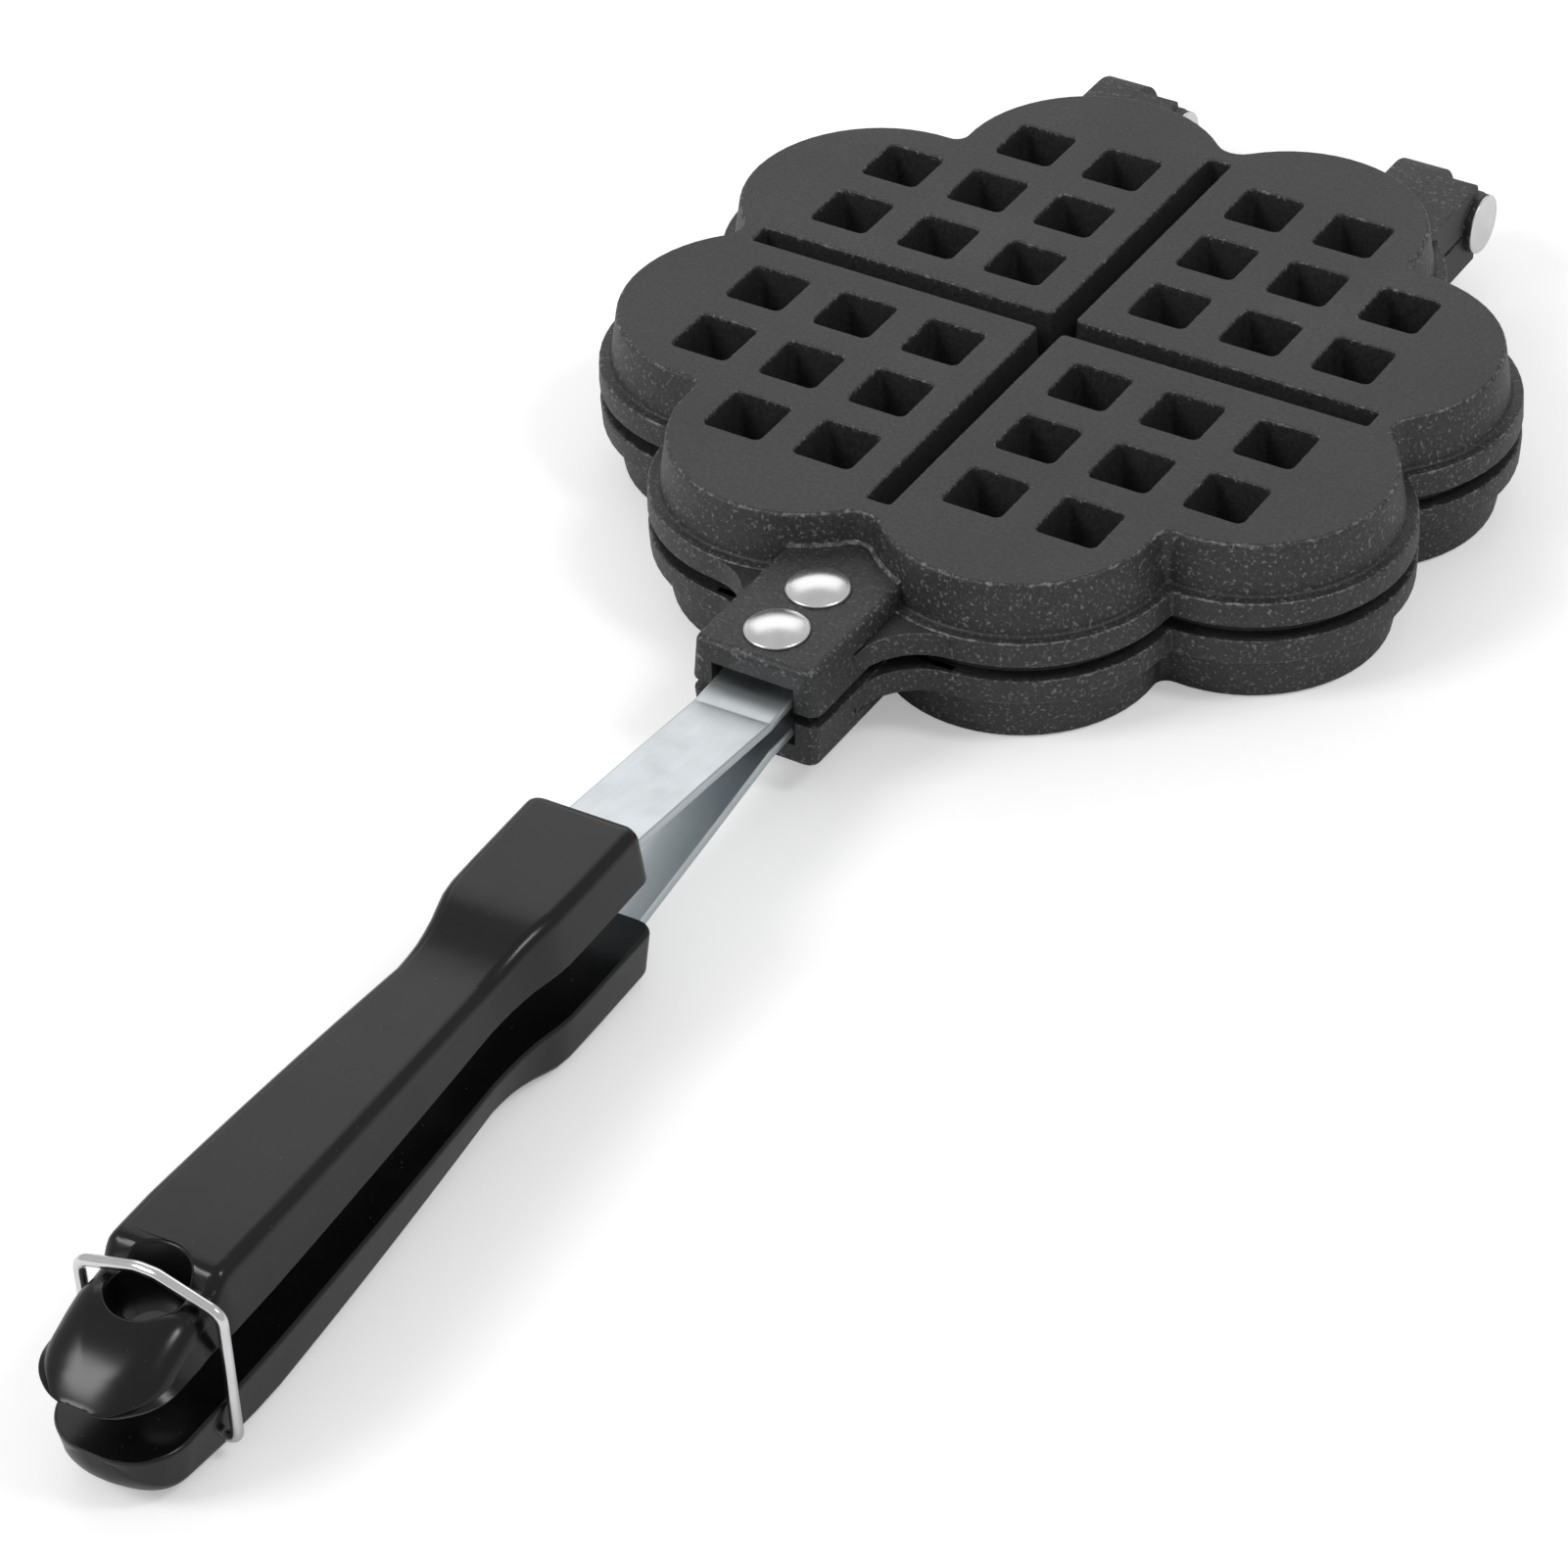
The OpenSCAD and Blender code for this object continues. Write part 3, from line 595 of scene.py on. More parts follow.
def plate_skin(shape, layer, lip):
    """The closed skin of one plate. The rings give height, growth of the flower, and wear with painted
    highlight.
    """
    # The rim rounding, the flange's edges and the lip carry wear and a painted highlight line; the walls at
    # 0.15 get denser pale specks, partly painted light.
    outer = [(z, g, wear_and_highlight) for (z, g), wear_and_highlight in zip(rounding(0.8, 5), (0.1, 0.45, 0.7, 0.6, 0.3, 0.15))]
    outer += [(1.2, 0.07, 0.15), (9.0, 1.3, 0.15), (9.3, 1.42, 0.1), (9.45, 1.62, 0.1), (9.5, 1.9, 0.1),
              (9.5, 2.9, 0.15), (9.53, 3.12, 0.6), (9.63, 3.32, 0.8), (9.78, 3.42, 0.5), (10.0, 3.47, 0.25),
              (13.7, 3.63, 0.25), (14.05, 3.58, 0.55), (14.2, 3.46, 0.7), (14.29, 3.25, 0.4),
              (FLANGE_TOP, 2.8, 0.0), (FLANGE_TOP, 0.78, 0.0), (14.4, 0.6, 0.0), (14.65, 0.5, 0.0),
              (15.3, 0.43, 0.0), (15.48, 0.33, 0.2), (LIP_TOP, 0.15, 0.2)]
    ring = top = start_ring(shape, flat(flower(outer[0][1]), 0.0), layer, 0.0)
    for z, grow, wear_and_highlight in outer[1:]:
        ring = next_ring(shape, ring, flat(flower(grow), z), layer, wear_and_highlight)
    fill_between(shape, [top] + recess_skins(shape, layer, lip))
    inside_skin(shape, layer, ring)


def recess_skins(shape, layer, lip):
    """The pockets and the cross groove in the outer face; gives their mouths."""
    holes = []
    corner = 1.25
    steps = [(z, -g) for z, g in rounding(lip, 3)]
    for _, middle in pocket_places():
        outline = square(middle, POCKET_HALF + steps[0][1], corner + lip)
        mouth = start_ring(shape, flat(outline, 0.0), layer)
        holes.append(mouth)
        ring = mouth
        for z, grow in steps[1:]:
            outline = square(middle, POCKET_HALF + grow - DRAFT * z, corner + grow)
            # The lip rings at 0.5 carry wear and a painted highlight line along each pocket's lip.
            ring = next_ring(shape, ring, flat(outline, z), layer, 0.5)
        for z, grow in ((lip + 0.5, 0.0), (POCKET_DEPTH - 1.0, 0.0), (POCKET_DEPTH - 0.5, -0.13),
                        (POCKET_DEPTH - 0.13, -0.5), (POCKET_DEPTH, -1.0)):
            outline = square(middle, POCKET_HALF + grow - DRAFT * z, corner)
            ring = next_ring(shape, ring, flat(outline, z), layer)
        cap(shape, ring)
    mouth = start_ring(shape, flat(cross(steps[0][1]), 0.0), layer)
    holes.append(mouth)
    ring = mouth
    # The groove's lip rings at 0.5 carry wear and a painted highlight line.
    for z, grow in steps[1:] + [(lip + 0.5, 0.0)]:
        ring = next_ring(shape, ring, flat(cross(grow - DRAFT * z), z), layer, 0.5 if z <= lip else 0.0)
    for z, grow in ((GROOVE_DEPTH - 0.8, 0.0), (GROOVE_DEPTH - 0.2, -0.2), (GROOVE_DEPTH, -0.8)):
        ring = next_ring(shape, ring, flat(cross(grow - DRAFT * z), z), layer)
    fill_between(shape, [ring])
    return holes


def inner_grow(z):
    """How far the inside wall lies from the flower at a height, with its draft."""
    return -3.2 + (z - 3.5) / 15.2 * 2.7


def inside_skin(shape, layer, lip_ring):
    """The inside of a plate: the wall, then the floor with its studs and the ridge's top."""
    half = ridge_half(RIDGE_TOP)
    inner = start_ring(shape, flat(inside_outline(-0.8, half), LIP_TOP), layer, 0.2)
    fill_between(shape, [lip_ring, inner])
    ring = inner
    for z, grow in ((15.48, -1.0), (15.3, inner_grow(15.3)), (13.5, inner_grow(13.5)),
                    (RIDGE_TOP, inner_grow(RIDGE_TOP))):
        ring = next_ring(shape, ring, flat(inside_outline(grow, half), z), layer)
    share = CELL_POINTS + 3
    rim = []
    for turn in range(4):
        quarter = ring[turn * share: turn * share + CELL_POINTS]
        corner_vert = shape.verts.new(Vector((*quarter_turn([(half, half)], turn)[0], RIDGE_TOP)) * MM)
        rim.append(shape.edges.new((quarter[-1], corner_vert)))
        rim.append(shape.edges.new((corner_vert, quarter[0])))
        cell = quarter + [corner_vert]
        for z in (11.3, 7.0, 3.4, 2.75, FLOOR_TOP):
            sink = max(0.0, 3.4 - z)
            grow = inner_grow(max(z, 3.4)) - sink * sink * 1.2
            wide = ridge_half(z) + sink * sink * 0.9
            points = quarter_turn(cell_arc(grow, wide) + [(wide, wide)], turn)
            cell = next_ring(shape, cell, flat(points, z), layer)
        studs = []
        for place_turn, middle in pocket_places():
            if place_turn != turn:
                continue
            size = POCKET_HALF + POCKET_WALL
            outline = square(middle, size - DRAFT * FLOOR_TOP + 0.3, 2.6)
            foot = stud = start_ring(shape, flat(outline, FLOOR_TOP), layer)
            studs.append(foot)
            for z, grow in ((3.2, 0.0), (11.6, 0.0), (12.3, -0.25), (12.6, -0.9)):
                outline = square(middle, size + grow - DRAFT * z, 2.3 + grow * 0.5)
                stud = next_ring(shape, stud, flat(outline, z), layer)
            cap(shape, stud)
        fill_between(shape, [cell] + studs)
    for turn in range(4):
        start = turn * share + CELL_POINTS - 1
        for k in range(start, start + 4):
            a, b = ring[k % len(ring)], ring[(k + 1) % len(ring)]
            rim.append(next(e for e in a.link_edges if e.other_vert(a) is b))
    bmesh.ops.triangle_fill(shape, use_beauty=True, use_dissolve=False, edges=rim)


def boss_plan(grow):
    """The boss seen from above, grown at its sides and end."""
    half, end = 11.5 + grow, BOSS_END + min(grow, 0.0)
    corners = [(half, -72.2), (6.0, -69.4), (0.0, -65.4), (-6.0, -69.4), (-half, -72.2),
               (-half, -end), (half, -end)]
    return rounded_corners(corners, [0.4, 0.4, 0.4, 0.4, 0.4, 1.9, 1.9], 5)


def boss_skin(layer_name):
    """The boss with the channel for the tang."""
    block = bmesh.new()
    layer = block.verts.layers.float.new(layer_name)
    # The rounded face edge and the flange's edge carry wear and a painted highlight line; the side walls at
    # 0.15 get denser pale specks, partly painted light.
    steps = [(z + BOSS_FACE, g, wear_and_highlight)
             for (z, g), wear_and_highlight in zip(rounding(1.3, 5), (0.05, 0.3, 0.5, 0.4, 0.2, 0.15))]
    steps += [(7.8, 0.05, 0.15), (FLANGE_TOP, 0.76, 0.15), (14.56, 0.72, 0.6), (14.65, 0.55, 0.1)]
    loft(block, [flat(boss_plan(g), z) for z, g, _ in steps], layer, [w for *_, w in steps])
    channel = bmesh.new()
    channel.verts.layers.float.new(layer_name)
    loft(channel, [flat([(7.9, -104), (7.9, -71.6), (-7.9, -71.6), (-7.9, -104)], z) for z in (10.0, 17.0)])
    return cut(block, channel)


def wall_bead(shape, layer):
    """A thin bead where the boss's outer face meets the wall, carrying a light line: wear with a painted
    highlight.
    """
    near = sorted(p for p in flower(0.81, 60, 16) if abs(p[0]) < 11.3 and p[1] < 0)
    rings = []
    profile = ((-0.4, 5.3), (0.0, 5.3), (0.16, 5.62), (0.5, 5.86), (0.5, 6.2), (-0.4, 6.2))
    for i, (x, y) in enumerate(near):
        before, after = near[max(i - 1, 0)], near[min(i + 1, len(near) - 1)]
        run = Vector((after[0] - before[0], after[1] - before[1])).normalized()
        out = Vector((run.y, -run.x))
        rings.append([(x + out.x * reach, y + out.y * reach, z) for reach, z in profile])
    loft(shape, rings, layer, [0.75] * len(rings))


def root_skin(shape, layer, side, turn, radius, mirrored, front):
    """One wing that blends a straight side into the flange."""
    big = LOBE_RADIUS + FLANGE_REACH
    x = side + turn * radius
    y = LOBE_FAR + math.sqrt((big + radius) ** 2 - (x - LOBE_NEAR) ** 2)
    middle = Vector((LOBE_NEAR, LOBE_FAR))
    touch = middle + (Vector((x, y)) - middle) * big / (big + radius)
    start = math.pi if turn > 0 else 0.0
    end = math.atan2(touch.y - y, touch.x - x)
    end += 2 * math.pi if turn > 0 and end < 0 else 0.0
    sign_x, sign_y = (-1 if mirrored else 1), (-1 if front else 1)

    def outline(grow):
        points = arc((x, y), radius - grow, start, end, 14)
        points += [(touch.x, touch.y - 2.0), (side - turn * 0.02, touch.y - 2.0), (side - turn * 0.02, y)]
        return [(sign_x * px, sign_y * py) for px, py in points]

    # The flange's rounded edges carry wear and a painted highlight line.
    steps = [(9.75, -0.35, 0.0), (9.78, -0.22, 0.5), (9.88, -0.08, 0.8), (10.1, 0.0, 0.2), (13.9, 0.0, 0.2),
             (14.15, -0.08, 0.7), (14.27, -0.2, 0.4), (FLANGE_TOP, -0.35, 0.0)]
    loft(shape, [flat(outline(g), z) for z, g, _ in steps], layer, [w for *_, w in steps])


def lug_profile(kind, inner, grow):
    """The side view of one half of a hinge, below the axis: barrel or recess."""
    name, radius = kind
    c = (HINGE_Y, MID)
    low, high = MID - 8.0, MID - 0.4
    angle = math.asin(0.4 / radius)
    if name == "barrel":
        radius += grow
        foot = [] if radius > 7 else [(HINGE_Y + grow, low - grow)]
        points = [(inner, low - grow)] + foot
        points += arc(c, radius, -math.pi / 2, math.pi + angle, 30)
        points += [(inner, high + grow)]
    else:
        drop = math.sqrt(max(radius ** 2 - 64.0, 0.0))
        start = math.atan2(-8.0, -drop) if radius > 8 else -math.pi / 2
        foot = [] if radius > 8 else [(HINGE_Y + grow, low - grow)]
        points = [(inner, low - grow)] + foot
        points += arc(c, radius - grow, start, -math.pi + angle, 12)
        points += [(inner, high + grow)]
    return points


def lug_skin(shape, layer, start, end, kind):
    """One half of a hinge, drawn as a profile run along X with its outer edge eased."""
    rings, wear_and_highlight = [], []
    # The eased outer edge carries wear and a painted highlight line.
    ease = [(0.0, -0.4, 0.0), (0.02, -0.28, 0.3), (0.1, -0.12, 0.65), (0.4, 0.0, 0.1)]
    if start + end < 2 * math.copysign(HINGE_X, start):
        chosen = [(start + x, grow, wear_and_highlight_level) for x, grow, wear_and_highlight_level in ease] + [(end, 0.0, 0.1)]
    else:
        chosen = [(start, 0.0, 0.1)] + [(end - x, grow, wear_and_highlight_level) for x, grow, wear_and_highlight_level in reversed(ease)]
    for x, grow, wear_and_highlight_level in chosen:
        inner = LOBE_FAR + math.sqrt(24.6 ** 2 - (abs(x) - LOBE_NEAR) ** 2)
        rings.append([(x, y, z) for y, z in lug_profile(kind, inner, grow)])
        wear_and_highlight.append(wear_and_highlight_level)
    loft(shape, rings, layer, wear_and_highlight)


def collar(shape, layer, side):
    """The round collar under a hinge pin's head."""
    centre, turns = Vector((side * HINGE_X, HINGE_Y, MID)), 48
    rings, wear_and_highlight = [], []
    # The collar's edge carries wear and a painted highlight line.
    steps = ((LUG_SIDE - 1.0, 5.6, 0.0), (PIN_SEAT - 0.15, 5.6, 0.4), (PIN_SEAT, 5.45, 0.6))
    for along_pin, radius, wear_and_highlight_level in steps:
        rings.append([centre + Vector((along_pin, radius * math.cos(a), radius * math.sin(a)))
                      for a in (2 * math.pi * k / turns for k in range(turns))])
        wear_and_highlight.append(wear_and_highlight_level)
    loft(shape, rings, layer, wear_and_highlight)


def casting(name, body, node, upper, material, lip):
    """One casting with its boss, wings and hinge halves."""
    shape = bmesh.new()
    layer = shape.verts.layers.float.new("wear_and_highlight")
    plate_skin(shape, layer, lip)
    wall_bead(shape, layer)
    for mirrored in (False, True):
        root_skin(shape, layer, 11.98, 1, 12.0, mirrored, True)
        root_skin(shape, layer, HINGE_X + LUG_SIDE, 1, 3.0, mirrored, False)
        root_skin(shape, layer, HINGE_X - LUG_SIDE, -1, 3.0, mirrored, False)
    for side in (-1, 1):
        left = side * HINGE_X - LUG_SIDE
        split, right = left + LUG_LEFT, left + 2 * LUG_SIDE
        if upper:
            lug_skin(shape, layer, left, split - 0.15, ("barrel", 8.0))
            lug_skin(shape, layer, split - 0.2, right, ("recess", 6.3))
        else:
            lug_skin(shape, layer, left, split + 0.2, ("recess", 8.5))
            lug_skin(shape, layer, split + 0.15, right - 0.1, ("barrel", 5.8))
            collar(shape, layer, side)
    boss = boss_skin("wear_and_highlight")
    mesh = bpy.data.meshes.new("boss")
    boss.to_mesh(mesh)
    boss.free()
    shape.from_mesh(mesh)
    bpy.data.meshes.remove(mesh)
    if upper:
        upside(shape)
    return finish_piece(name, shape, material, body, [node], 34.0)


class WAFFLE_OT_castings(bpy.types.Operator):
    """Builds the two castings and coats them."""

    bl_idname = "waffle.castings"
    bl_label = "Castings"

    def execute(self, context):
        look = context.scene.waffle_coating
        material = coating_material("casting coating", tuple(look.colour), tuple(look.wear_and_highlight_colour),
                                    look.grain)
        lip = look.lip / MM
        casting("upper_casting", "upper", "upper_plate", True, material, lip)
        casting("lower_casting", "lower", "lower_plate", False, material, lip)
        return {"FINISHED"}


# Tangs


def strip_section(width, thickness, soft):
    """A flat bar's section with eased edges, across and up."""
    return rounded_corners([(width / 2, thickness / 2), (-width / 2, thickness / 2),
                            (-width / 2, -thickness / 2), (width / 2, -thickness / 2)], [soft] * 4, 3)


def tang_path():
    """The outer side of a tang, as distance from the middle and height over the mid plane."""
    return [(73.4, 5.6), (90.0, 5.6), (98.2, 5.6), (98.7, 5.5), (99.1, 5.25), (100.3, 4.25),
            (100.9, 3.98), (102.0, 3.87), (109.2, 3.74), (109.8, 3.7), (110.1, 3.76), (111.2, 3.9),
            (113.0, 4.13), (130.0, 6.3), (151.0, 8.82), (153.0, 9.1), (155.5, 9.27), (158.7, 9.3),
            (205.0, 9.3)]


def tang(name, body, node, side, material):
    """One bent strip."""
    shape = bmesh.new()
    path = tang_path()
    section = strip_section(TANG_WIDTH, TANG_THICKNESS, 0.45)
    rings = []
    for i, (y, z) in enumerate(path):
        before, after = path[max(i - 1, 0)], path[min(i + 1, len(path) - 1)]
        slope = math.atan2(after[1] - before[1], after[0] - before[0])
        rings.append([])
        for x, h in section:
            up = h - TANG_THICKNESS / 2
            rings[-1].append(in_handle((x, -(y - up * math.sin(slope)), side * (z + up * math.cos(slope)))))
    loft(shape, rings)
    return finish_piece(name, shape, material, body, [node])


class WAFFLE_OT_tangs(bpy.types.Operator):
    """Bends the two tangs."""

    bl_idname = "waffle.tangs"
    bl_label = "Tangs"

    def execute(self, context):
        look = context.scene.waffle_metal
        material = steel_material("tang steel", tuple(look.tang_colour), 0.34)
        tang("upper_strip", "upper", "upper_tang", 1, material)
        tang("lower_strip", "lower", "lower_tang", -1, material)
        return {"FINISHED"}


# Rivets, pins and wire


def turned(shape, profile, middle, axis, across):
    """Spins a profile of radius and distance along an axis through a point."""
    axis, across, middle = Vector(axis), Vector(across), Vector(middle) * MM
    verts = [shape.verts.new(middle + (across * r + axis * h) * MM) for r, h in profile]
    edges = [shape.edges.new(pair) for pair in zip(verts, verts[1:])]
    bmesh.ops.spin(shape, geom=verts + edges, cent=middle, axis=axis, angle=2 * math.pi, steps=64,
                   use_merge=True)
    bmesh.ops.remove_doubles(shape, verts=shape.verts, dist=1e-7)


def rivet(name, body, node, distance, upper, material):
    """A rivet with a domed head, its shank and the closing head on the tang."""
    shape = bmesh.new()
    edge, rise = 5.6, 1.4
    ball = (edge * edge + rise * rise) / (2 * rise)
    most = math.asin(edge / ball)
    dome = [(ball * math.sin(most * k / 14), ball * (1 - math.cos(most * k / 14))) for k in range(15)]
    outer = BOSS_FACE - 0.4 - rise
    profile = [(r, outer + h) for r, h in dome[:-1]]
    profile += [(5.52, 5.42), (5.6, 5.55), (5.6, 5.8), (5.5, BOSS_FACE), (PIN_RADIUS, BOSS_FACE),
                (PIN_RADIUS, 12.0), (4.0, 12.0), (3.95, 12.4), (3.6, 13.0), (3.25, 13.3), (0.0, 13.3)]
    turned(shape, profile, (0, -distance, 0), (0, 0, 1), (1, 0, 0))
    if upper:
        upside(shape)
    return finish_piece(name, shape, material, body, [node])


def hinge_pin(name, node, side, material):
    """A hinge pin with its flat head."""
    shape = bmesh.new()
    seat = PIN_SEAT
    profile = [(0.0, -LUG_SIDE), (2.3, -LUG_SIDE), (PIN_RADIUS, 0.2 - LUG_SIDE), (PIN_RADIUS, seat),
               (5.5, seat), (5.62, seat + 0.1), (5.62, seat + 0.28), (5.55, seat + 0.39),
               (5.4, seat + 0.45), (4.6, seat + 0.46), (0.0, seat + 0.43)]
    turned(shape, profile, (side * HINGE_X, HINGE_Y, MID), (1, 0, 0), (0, 0, 1))
    return finish_piece(name, shape, material, "lower", [node])


def wire_path():
    """The wire's centre line in the handle's frame, from hook to hook, about its pivot."""
    half, shoulder, peak, crown = 12.3, 24.4, 27.6, 1.6
    slope = math.atan2(peak - shoulder, half - crown)
    corner, bend, hook_bend = 2.4, 4.0, 1.6
    turn = math.pi / 2 - slope
    trim = corner * math.tan(turn / 2)
    crown_trim = bend * math.tan(slope / 2)
    right = [(6.1, 0.0), (8.0, 0.0)]
    right += arc((half - hook_bend, hook_bend), hook_bend, -math.pi / 2, 0, 10)
    right += [(half, 6.0), (half, 14.0)]
    right += arc((half - corner, shoulder - trim), corner, 0, turn, 12)
    right += arc((crown - crown_trim, peak - bend), bend, turn, math.pi / 2, 6)
    return right + [(-x, z) for x, z in reversed(right)]


def wire_clasp(material):
    """The bent wire, a round section run along its centre line."""
    shape = bmesh.new()
    path = along(wire_path(), 181)
    rings = []
    for i, (x, z) in enumerate(path):
        before, after = path[max(i - 1, 0)], path[min(i + 1, len(path) - 1)]
        along_path = Vector((after[0] - before[0], 0, after[1] - before[1])).normalized()
        out = Vector((along_path.z, 0, -along_path.x))
        ring = []
        for k in range(20):
            a = 2 * math.pi * k / 20
            round_wire = math.sin(a) * out + Vector((0, math.cos(a), 0))
            ring.append(in_handle(Vector((x, -PIVOT_Y, z - PIVOT_DROP)) + WIRE_RADIUS * round_wire))
        rings.append(ring)
    loft(shape, rings)
    return finish_piece("bent_wire", shape, material, "clasp", ["wire_clasp"], 60.0)


class WAFFLE_OT_rivets(bpy.types.Operator):
    """Turns the rivets and hinge pins and bends the wire."""

    bl_idname = "waffle.rivets"
    bl_label = "Rivets, pins and wire"

    def execute(self, context):
        look = context.scene.waffle_metal
        material = turned_material("rivet metal", tuple(look.rivet_colour), 0.27)
        for body, upper in (("lower", False), ("upper", True)):
            for place_name, distance in zip(("inner", "outer"), RIVETS):
                node = f"{body}_{place_name}_rivet"
                rivet(f"{node}_turned", body, node, distance, upper, material)
        pin = turned_material("pin metal", tuple(look.rivet_colour), 0.3)
        hinge_pin("left_pin_turned", "left_hinge_pin", -1, pin)
        hinge_pin("right_pin_turned", "right_hinge_pin", 1, pin)
        wire_clasp(turned_material("clasp wire", tuple(look.wire_colour), 0.16))
        return {"FINISHED"}


# Grips


def grip_section(distance, height, half, soft, wide=None):
    """One section of a grip: sharp at the inner side, rounded at the outer side."""
    tall = height - GRIP_INNER
    top = half - min(1.0, 0.3 * half, 0.5 * tall)
    lift = min(0.7, 0.3 * tall, 0.3 * half)
    wide = min(wide or soft, 0.9 * top)
    soft = min(soft, 0.75 * tall)
    side = [(half - lift, GRIP_INNER)]
    side += [(half - lift + lift * math.sin(a), GRIP_INNER + lift - lift * math.cos(a))
             for a in (0.5, 1.0, 1.57)]
    side += [(top - wide + wide * math.cos(a), height - soft + soft * math.sin(a))
             for a in (math.pi / 2 * k / 14 for k in range(15))]
    return [(x, -distance, z) for x, z in side] + [(-x, -distance, z) for x, z in reversed(side)]


def eased(t):
    """How far the palm has swelled at a share of its run: quick at first, then slower."""
    return t * (1.35 - 0.35 * t)


def round_end(full, corner, distance):
    """Width of a rounded end at a distance from its tip."""
    left = max(corner - distance, 0.0)
    return full - corner + math.sqrt(corner * corner - left * left)


def front_rows():
    """Distance, height, half width and rounding along the grip, up to the palm."""
    places = [(GRIP_FRONT + step, round_end(15.0, 2.4, step), round_end(11.2, 2.4, step))
              for step in (0.0, 0.12, 0.35, 0.75, 1.3, 1.9, 2.6)]
    places += [(162, 15.0, 11.2), (172, 15.0, 11.2), (178, 15.0, 11.1), (181, 14.88, 10.75),
               (183.5, 14.45, 10.2), (186, 13.85, 9.7), (189, 13.2, 9.35), (191.5, 12.8, 9.15),
               (194, 12.6, 9.05), (WAIST, 12.5, 9.0)]
    for k in range(1, 13):
        swell = eased(k / 12)
        places.append((WAIST + k / 12 * PALM_RUN, 12.5 + swell * 3.1, 9.0 + swell * 2.1))
    return [(*row, GRIP_EDGE) for row in places]


def dome_height(distance):
    """Height of the upper tail under the wire's swing."""
    past = distance - PIVOT_Y
    swing = 25.4 - 0.5 * (1 - past / TAIL_BACK)
    return max(math.sqrt(swing * swing - past * past) - PIVOT_DROP, GRIP_INNER + 0.5)


def upper_tail_rows():
    """The tail behind the palm: the wire's groove and the dome behind it."""
    y = PIVOT_Y
    rows = [(y - 6.4, 15.6, 11.1, GRIP_EDGE), (y - 5.2, 15.55, 11.1, GRIP_EDGE),
            (y - 4.3, 15.3, 11.1, GRIP_EDGE),
            (y - 3.6, 14.75, 11.05, 2.4), (y - 3.0, 13.9, 11.0, 2.5), (y - 2.4, 13.1, 10.9, 2.6),
            (y - 1.7, 12.55, 10.8, 2.7), (y - 0.8, 12.4, 10.75, 2.9), (y + 1.0, 12.4, 10.75, 3.2),
            (y + 2.0, 12.45, 10.8, 3.4), (y + 3.0, 12.6, 10.9, 3.7)]
    run = TAIL_BACK - 4.2
    for k in range(23):
        step = run * (1 - k / 22) ** 1.7
        near = 1 - step / run
        rows.append((TAIL_END - step, dome_height(TAIL_END - step), round_end(11.0, 9.3, step),
                     4.0 + 2.0 * near, 4.2 + 4.5 * near))
    return rows


def lower_tail_rows():
    """The lower grip's blunt tail."""
    heel = TAIL_END - 1.6
    rows = [(264.0, 15.55, 11.1, GRIP_EDGE), (272.0, 15.0, 11.1, 2.4)]
    for k in range(23):
        step = 10.0 * (1 - k / 22) ** 1.7
        near = 1 - step / 10.0
        rows.append((heel - step, round_end(14.3, 7.0, step), round_end(11.0, 9.0, step),
                     2.6 + near, 2.8 + 4 * near))
    return rows


def hole_radius(height, mouth):
    """Radius of the hang hole at a height over the mid plane."""
    return HOLE_RADIUS + (mouth - HOLE_RADIUS) * max(height - GRIP_INNER, 0.0) / (15.6 - GRIP_INNER)


def grip(name, body, node, rows, side, mouth, material):
    """One moulded grip: a loft through its sections, bored for hanging."""
    shape = bmesh.new()
    loft(shape, [grip_section(*row) for row in rows])
    bore = bmesh.new()
    rings = []
    for z in (2.0, GRIP_INNER, 18.0):
        wide, angles = hole_radius(z, mouth), [2 * math.pi * k / 72 for k in range(72)]
        rings.append(flat([(wide * math.cos(a), wide * math.sin(a) - HOLE_Y) for a in angles], z))
    loft(bore, rings)
    shape = cut(shape, bore)
    bmesh.ops.dissolve_degenerate(shape, dist=0.08 * MM, edges=shape.edges)
    rim = [edge for edge in shape.edges
           if len(edge.link_faces) == 2 and all(on_bore(v.co / MM, mouth) for v in edge.verts)
           and edge.calc_face_angle(0) > math.radians(25) and edge.verts[0].co.z > 8 * MM]
    bmesh.ops.bevel(shape, geom=rim, offset=0.4 * MM, offset_type="OFFSET", segments=3, profile=0.5,
                    affect="EDGES", clamp_overlap=False, material=-1)
    for vert in shape.verts:
        x, y, z = vert.co / MM
        vert.co = Vector(in_handle((x, y, side * z))) * MM
    return finish_piece(name, shape, material, body, [node], 32.0)


def on_bore(spot, mouth):
    """Whether a point lies on the hang hole's wall."""
    return abs(math.hypot(spot.x, spot.y + HOLE_Y) - hole_radius(spot.z, mouth)) < 0.03


class WAFFLE_OT_grips(bpy.types.Operator):
    """Moulds the two grips."""

    bl_idname = "waffle.grips"
    bl_label = "Grips"

    def execute(self, context):
        look = context.scene.waffle_grip
        material = grip_material("grip moulding", tuple(look.colour), look.gloss)
        grip("upper_moulding", "upper", "upper_grip", front_rows() + upper_tail_rows(), 1, 6.9, material)
        grip("lower_moulding", "lower", "lower_grip", front_rows() + lower_tail_rows(), -1, HOLE_RADIUS,
             material)
        return {"FINISHED"}


# Stage


def soft_lamp(name, place_at, target, size, power):
    """An area lamp aimed at a point."""
    data = bpy.data.lights.new(name, "AREA")
    data.shape = "RECTANGLE"
    data.size, data.size_y = size
    data.energy = power
    lamp = bpy.data.objects.new(name, data)
    lamp.location = place_at
    lamp.rotation_euler = (Vector(target) - Vector(place_at)).to_track_quat("-Z", "Y").to_euler()
    bpy.context.scene.collection.objects.link(lamp)


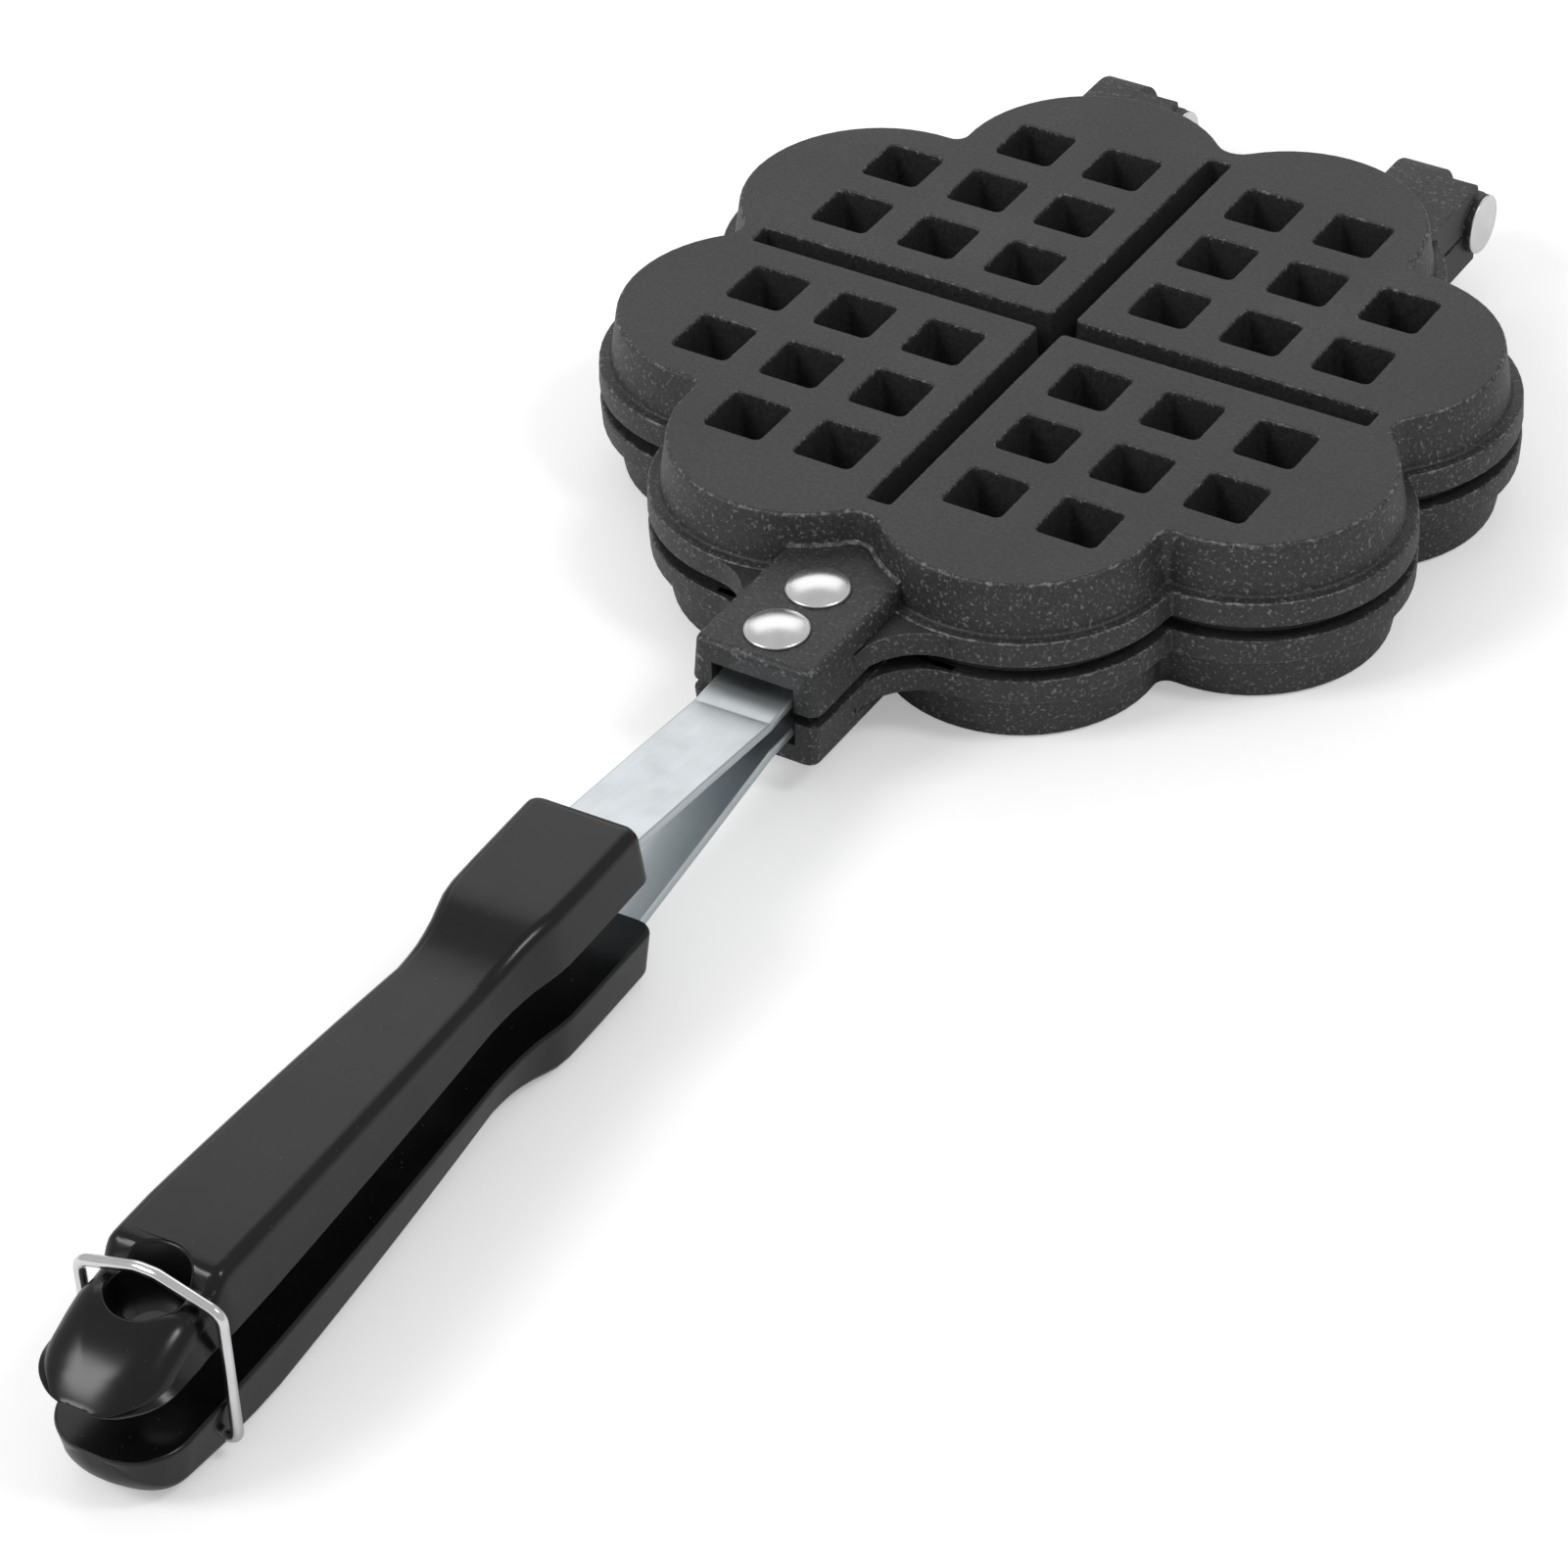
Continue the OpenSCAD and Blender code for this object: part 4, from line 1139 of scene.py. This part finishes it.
def white_to_eye(tree, own, output):
    """White for the camera and for rays that pass through, the node's own light for the rest."""
    path = tree.nodes.new("ShaderNodeLightPath")
    seen = combine(tree, "MAXIMUM", path.outputs["Is Camera Ray"], path.outputs["Is Transmission Ray"])
    mix = tree.nodes.new("ShaderNodeMixShader")
    white = tree.nodes.new("ShaderNodeBackground")
    white.inputs["Color"].default_value = (1, 1, 1, 1)
    white.inputs["Strength"].default_value = 1.0
    link(tree, seen, mix.inputs["Fac"])
    link(tree, own, mix.inputs[1])
    link(tree, white.outputs[0], mix.inputs[2])
    link(tree, mix.outputs[0], output)


class WAFFLE_OT_stage(bpy.types.Operator):
    """Sets the camera, the soft light, the white surround and the floor."""

    bl_idname = "waffle.stage"
    bl_label = "Stage"

    def execute(self, context):
        scene = context.scene
        data = bpy.data.cameras.new("photo camera")
        data.lens = CAMERA_LENS
        data.sensor_width = SENSOR
        data.clip_start, data.clip_end = 0.01, 20
        camera = bpy.data.objects.new("photo camera", data)
        turn = Matrix((CAMERA_RIGHT, CAMERA_UP, -CAMERA_AHEAD)).transposed().to_4x4()
        camera.matrix_world = Matrix.Translation(CAMERA_PLACE) @ turn
        scene.collection.objects.link(camera)
        scene.camera = camera
        scene.view_settings.view_transform = "Standard"

        world = bpy.data.worlds.new("studio")
        scene.world = world
        world.use_nodes = True
        tree = world.node_tree
        soft = tree.nodes["Background"]
        soft.inputs["Color"].default_value = (1, 1, 1, 1)
        soft.inputs["Strength"].default_value = 0.5
        white_to_eye(tree, soft.outputs[0], tree.nodes["World Output"].inputs["Surface"])

        soft_lamp("panel", (-0.85, 1.2, 1.15), (0, -0.1, 0), (1.7, 1.2), 5.2)
        soft_lamp("key", (-0.8, -1.1, 1.15), (0, -0.05, 0), (0.6, 0.6), 9)
        soft_lamp("fill", (0.93, -0.02, 1.3), (0, -0.1, 0), (0.35, 0.35), 4.5)

        shape = bmesh.new()
        bmesh.ops.create_grid(shape, x_segments=2, y_segments=2, size=3)
        bmesh.ops.translate(shape, verts=shape.verts, vec=(0, 0, -0.0002))
        mesh = bpy.data.meshes.new("floor")
        shape.to_mesh(mesh)
        shape.free()
        floor = bpy.data.objects.new("floor", mesh)
        scene.collection.objects.link(floor)
        material, tree, shader = blank_material("floor")
        shader.inputs["Base Color"].default_value = (0.9, 0.9, 0.9, 1)
        shader.inputs["Roughness"].default_value = 0.9
        path = tree.nodes.new("ShaderNodeLightPath")
        link(tree, combine(tree, "MULTIPLY", path.outputs["Is Camera Ray"], 0.32),
             shader.inputs["Emission Strength"])
        shader.inputs["Emission Color"].default_value = (1, 1, 1, 1)
        floor.data.materials.append(material)
        return {"FINISHED"}


STEPS = (WAFFLE_OT_stage, WAFFLE_OT_castings, WAFFLE_OT_tangs, WAFFLE_OT_rivets, WAFFLE_OT_grips)


class WAFFLE_PT_panel(bpy.types.Panel):
    """Lists the steps that build the pan."""

    bl_label = "Waffle pan"
    bl_idname = "WAFFLE_PT_panel"
    bl_space_type = "VIEW_3D"
    bl_region_type = "UI"
    bl_category = "Waffle pan"

    def draw(self, context):
        for step in STEPS:
            self.layout.operator(step.bl_idname)
        scene = context.scene
        for settings in (scene.waffle_coating, scene.waffle_metal, scene.waffle_grip):
            for name in settings.__annotations__:
                self.layout.prop(settings, name)


CLASSES = (CoatingSettings, MetalSettings, GripSettings, *STEPS, WAFFLE_PT_panel)


def register():
    """Adds the classes and the scene's settings."""
    for item in CLASSES:
        bpy.utils.register_class(item)
    bpy.types.Scene.waffle_coating = PointerProperty(type=CoatingSettings)
    bpy.types.Scene.waffle_metal = PointerProperty(type=MetalSettings)
    bpy.types.Scene.waffle_grip = PointerProperty(type=GripSettings)


def unregister():
    """Takes them away again."""
    del bpy.types.Scene.waffle_grip
    del bpy.types.Scene.waffle_metal
    del bpy.types.Scene.waffle_coating
    for item in reversed(CLASSES):
        bpy.utils.unregister_class(item)


def main():
    """Registers the classes and runs each step in order."""
    register()
    for step in STEPS:
        getattr(bpy.ops.waffle, step.bl_idname.split(".")[1])()


if __name__ == "__main__":
    main()
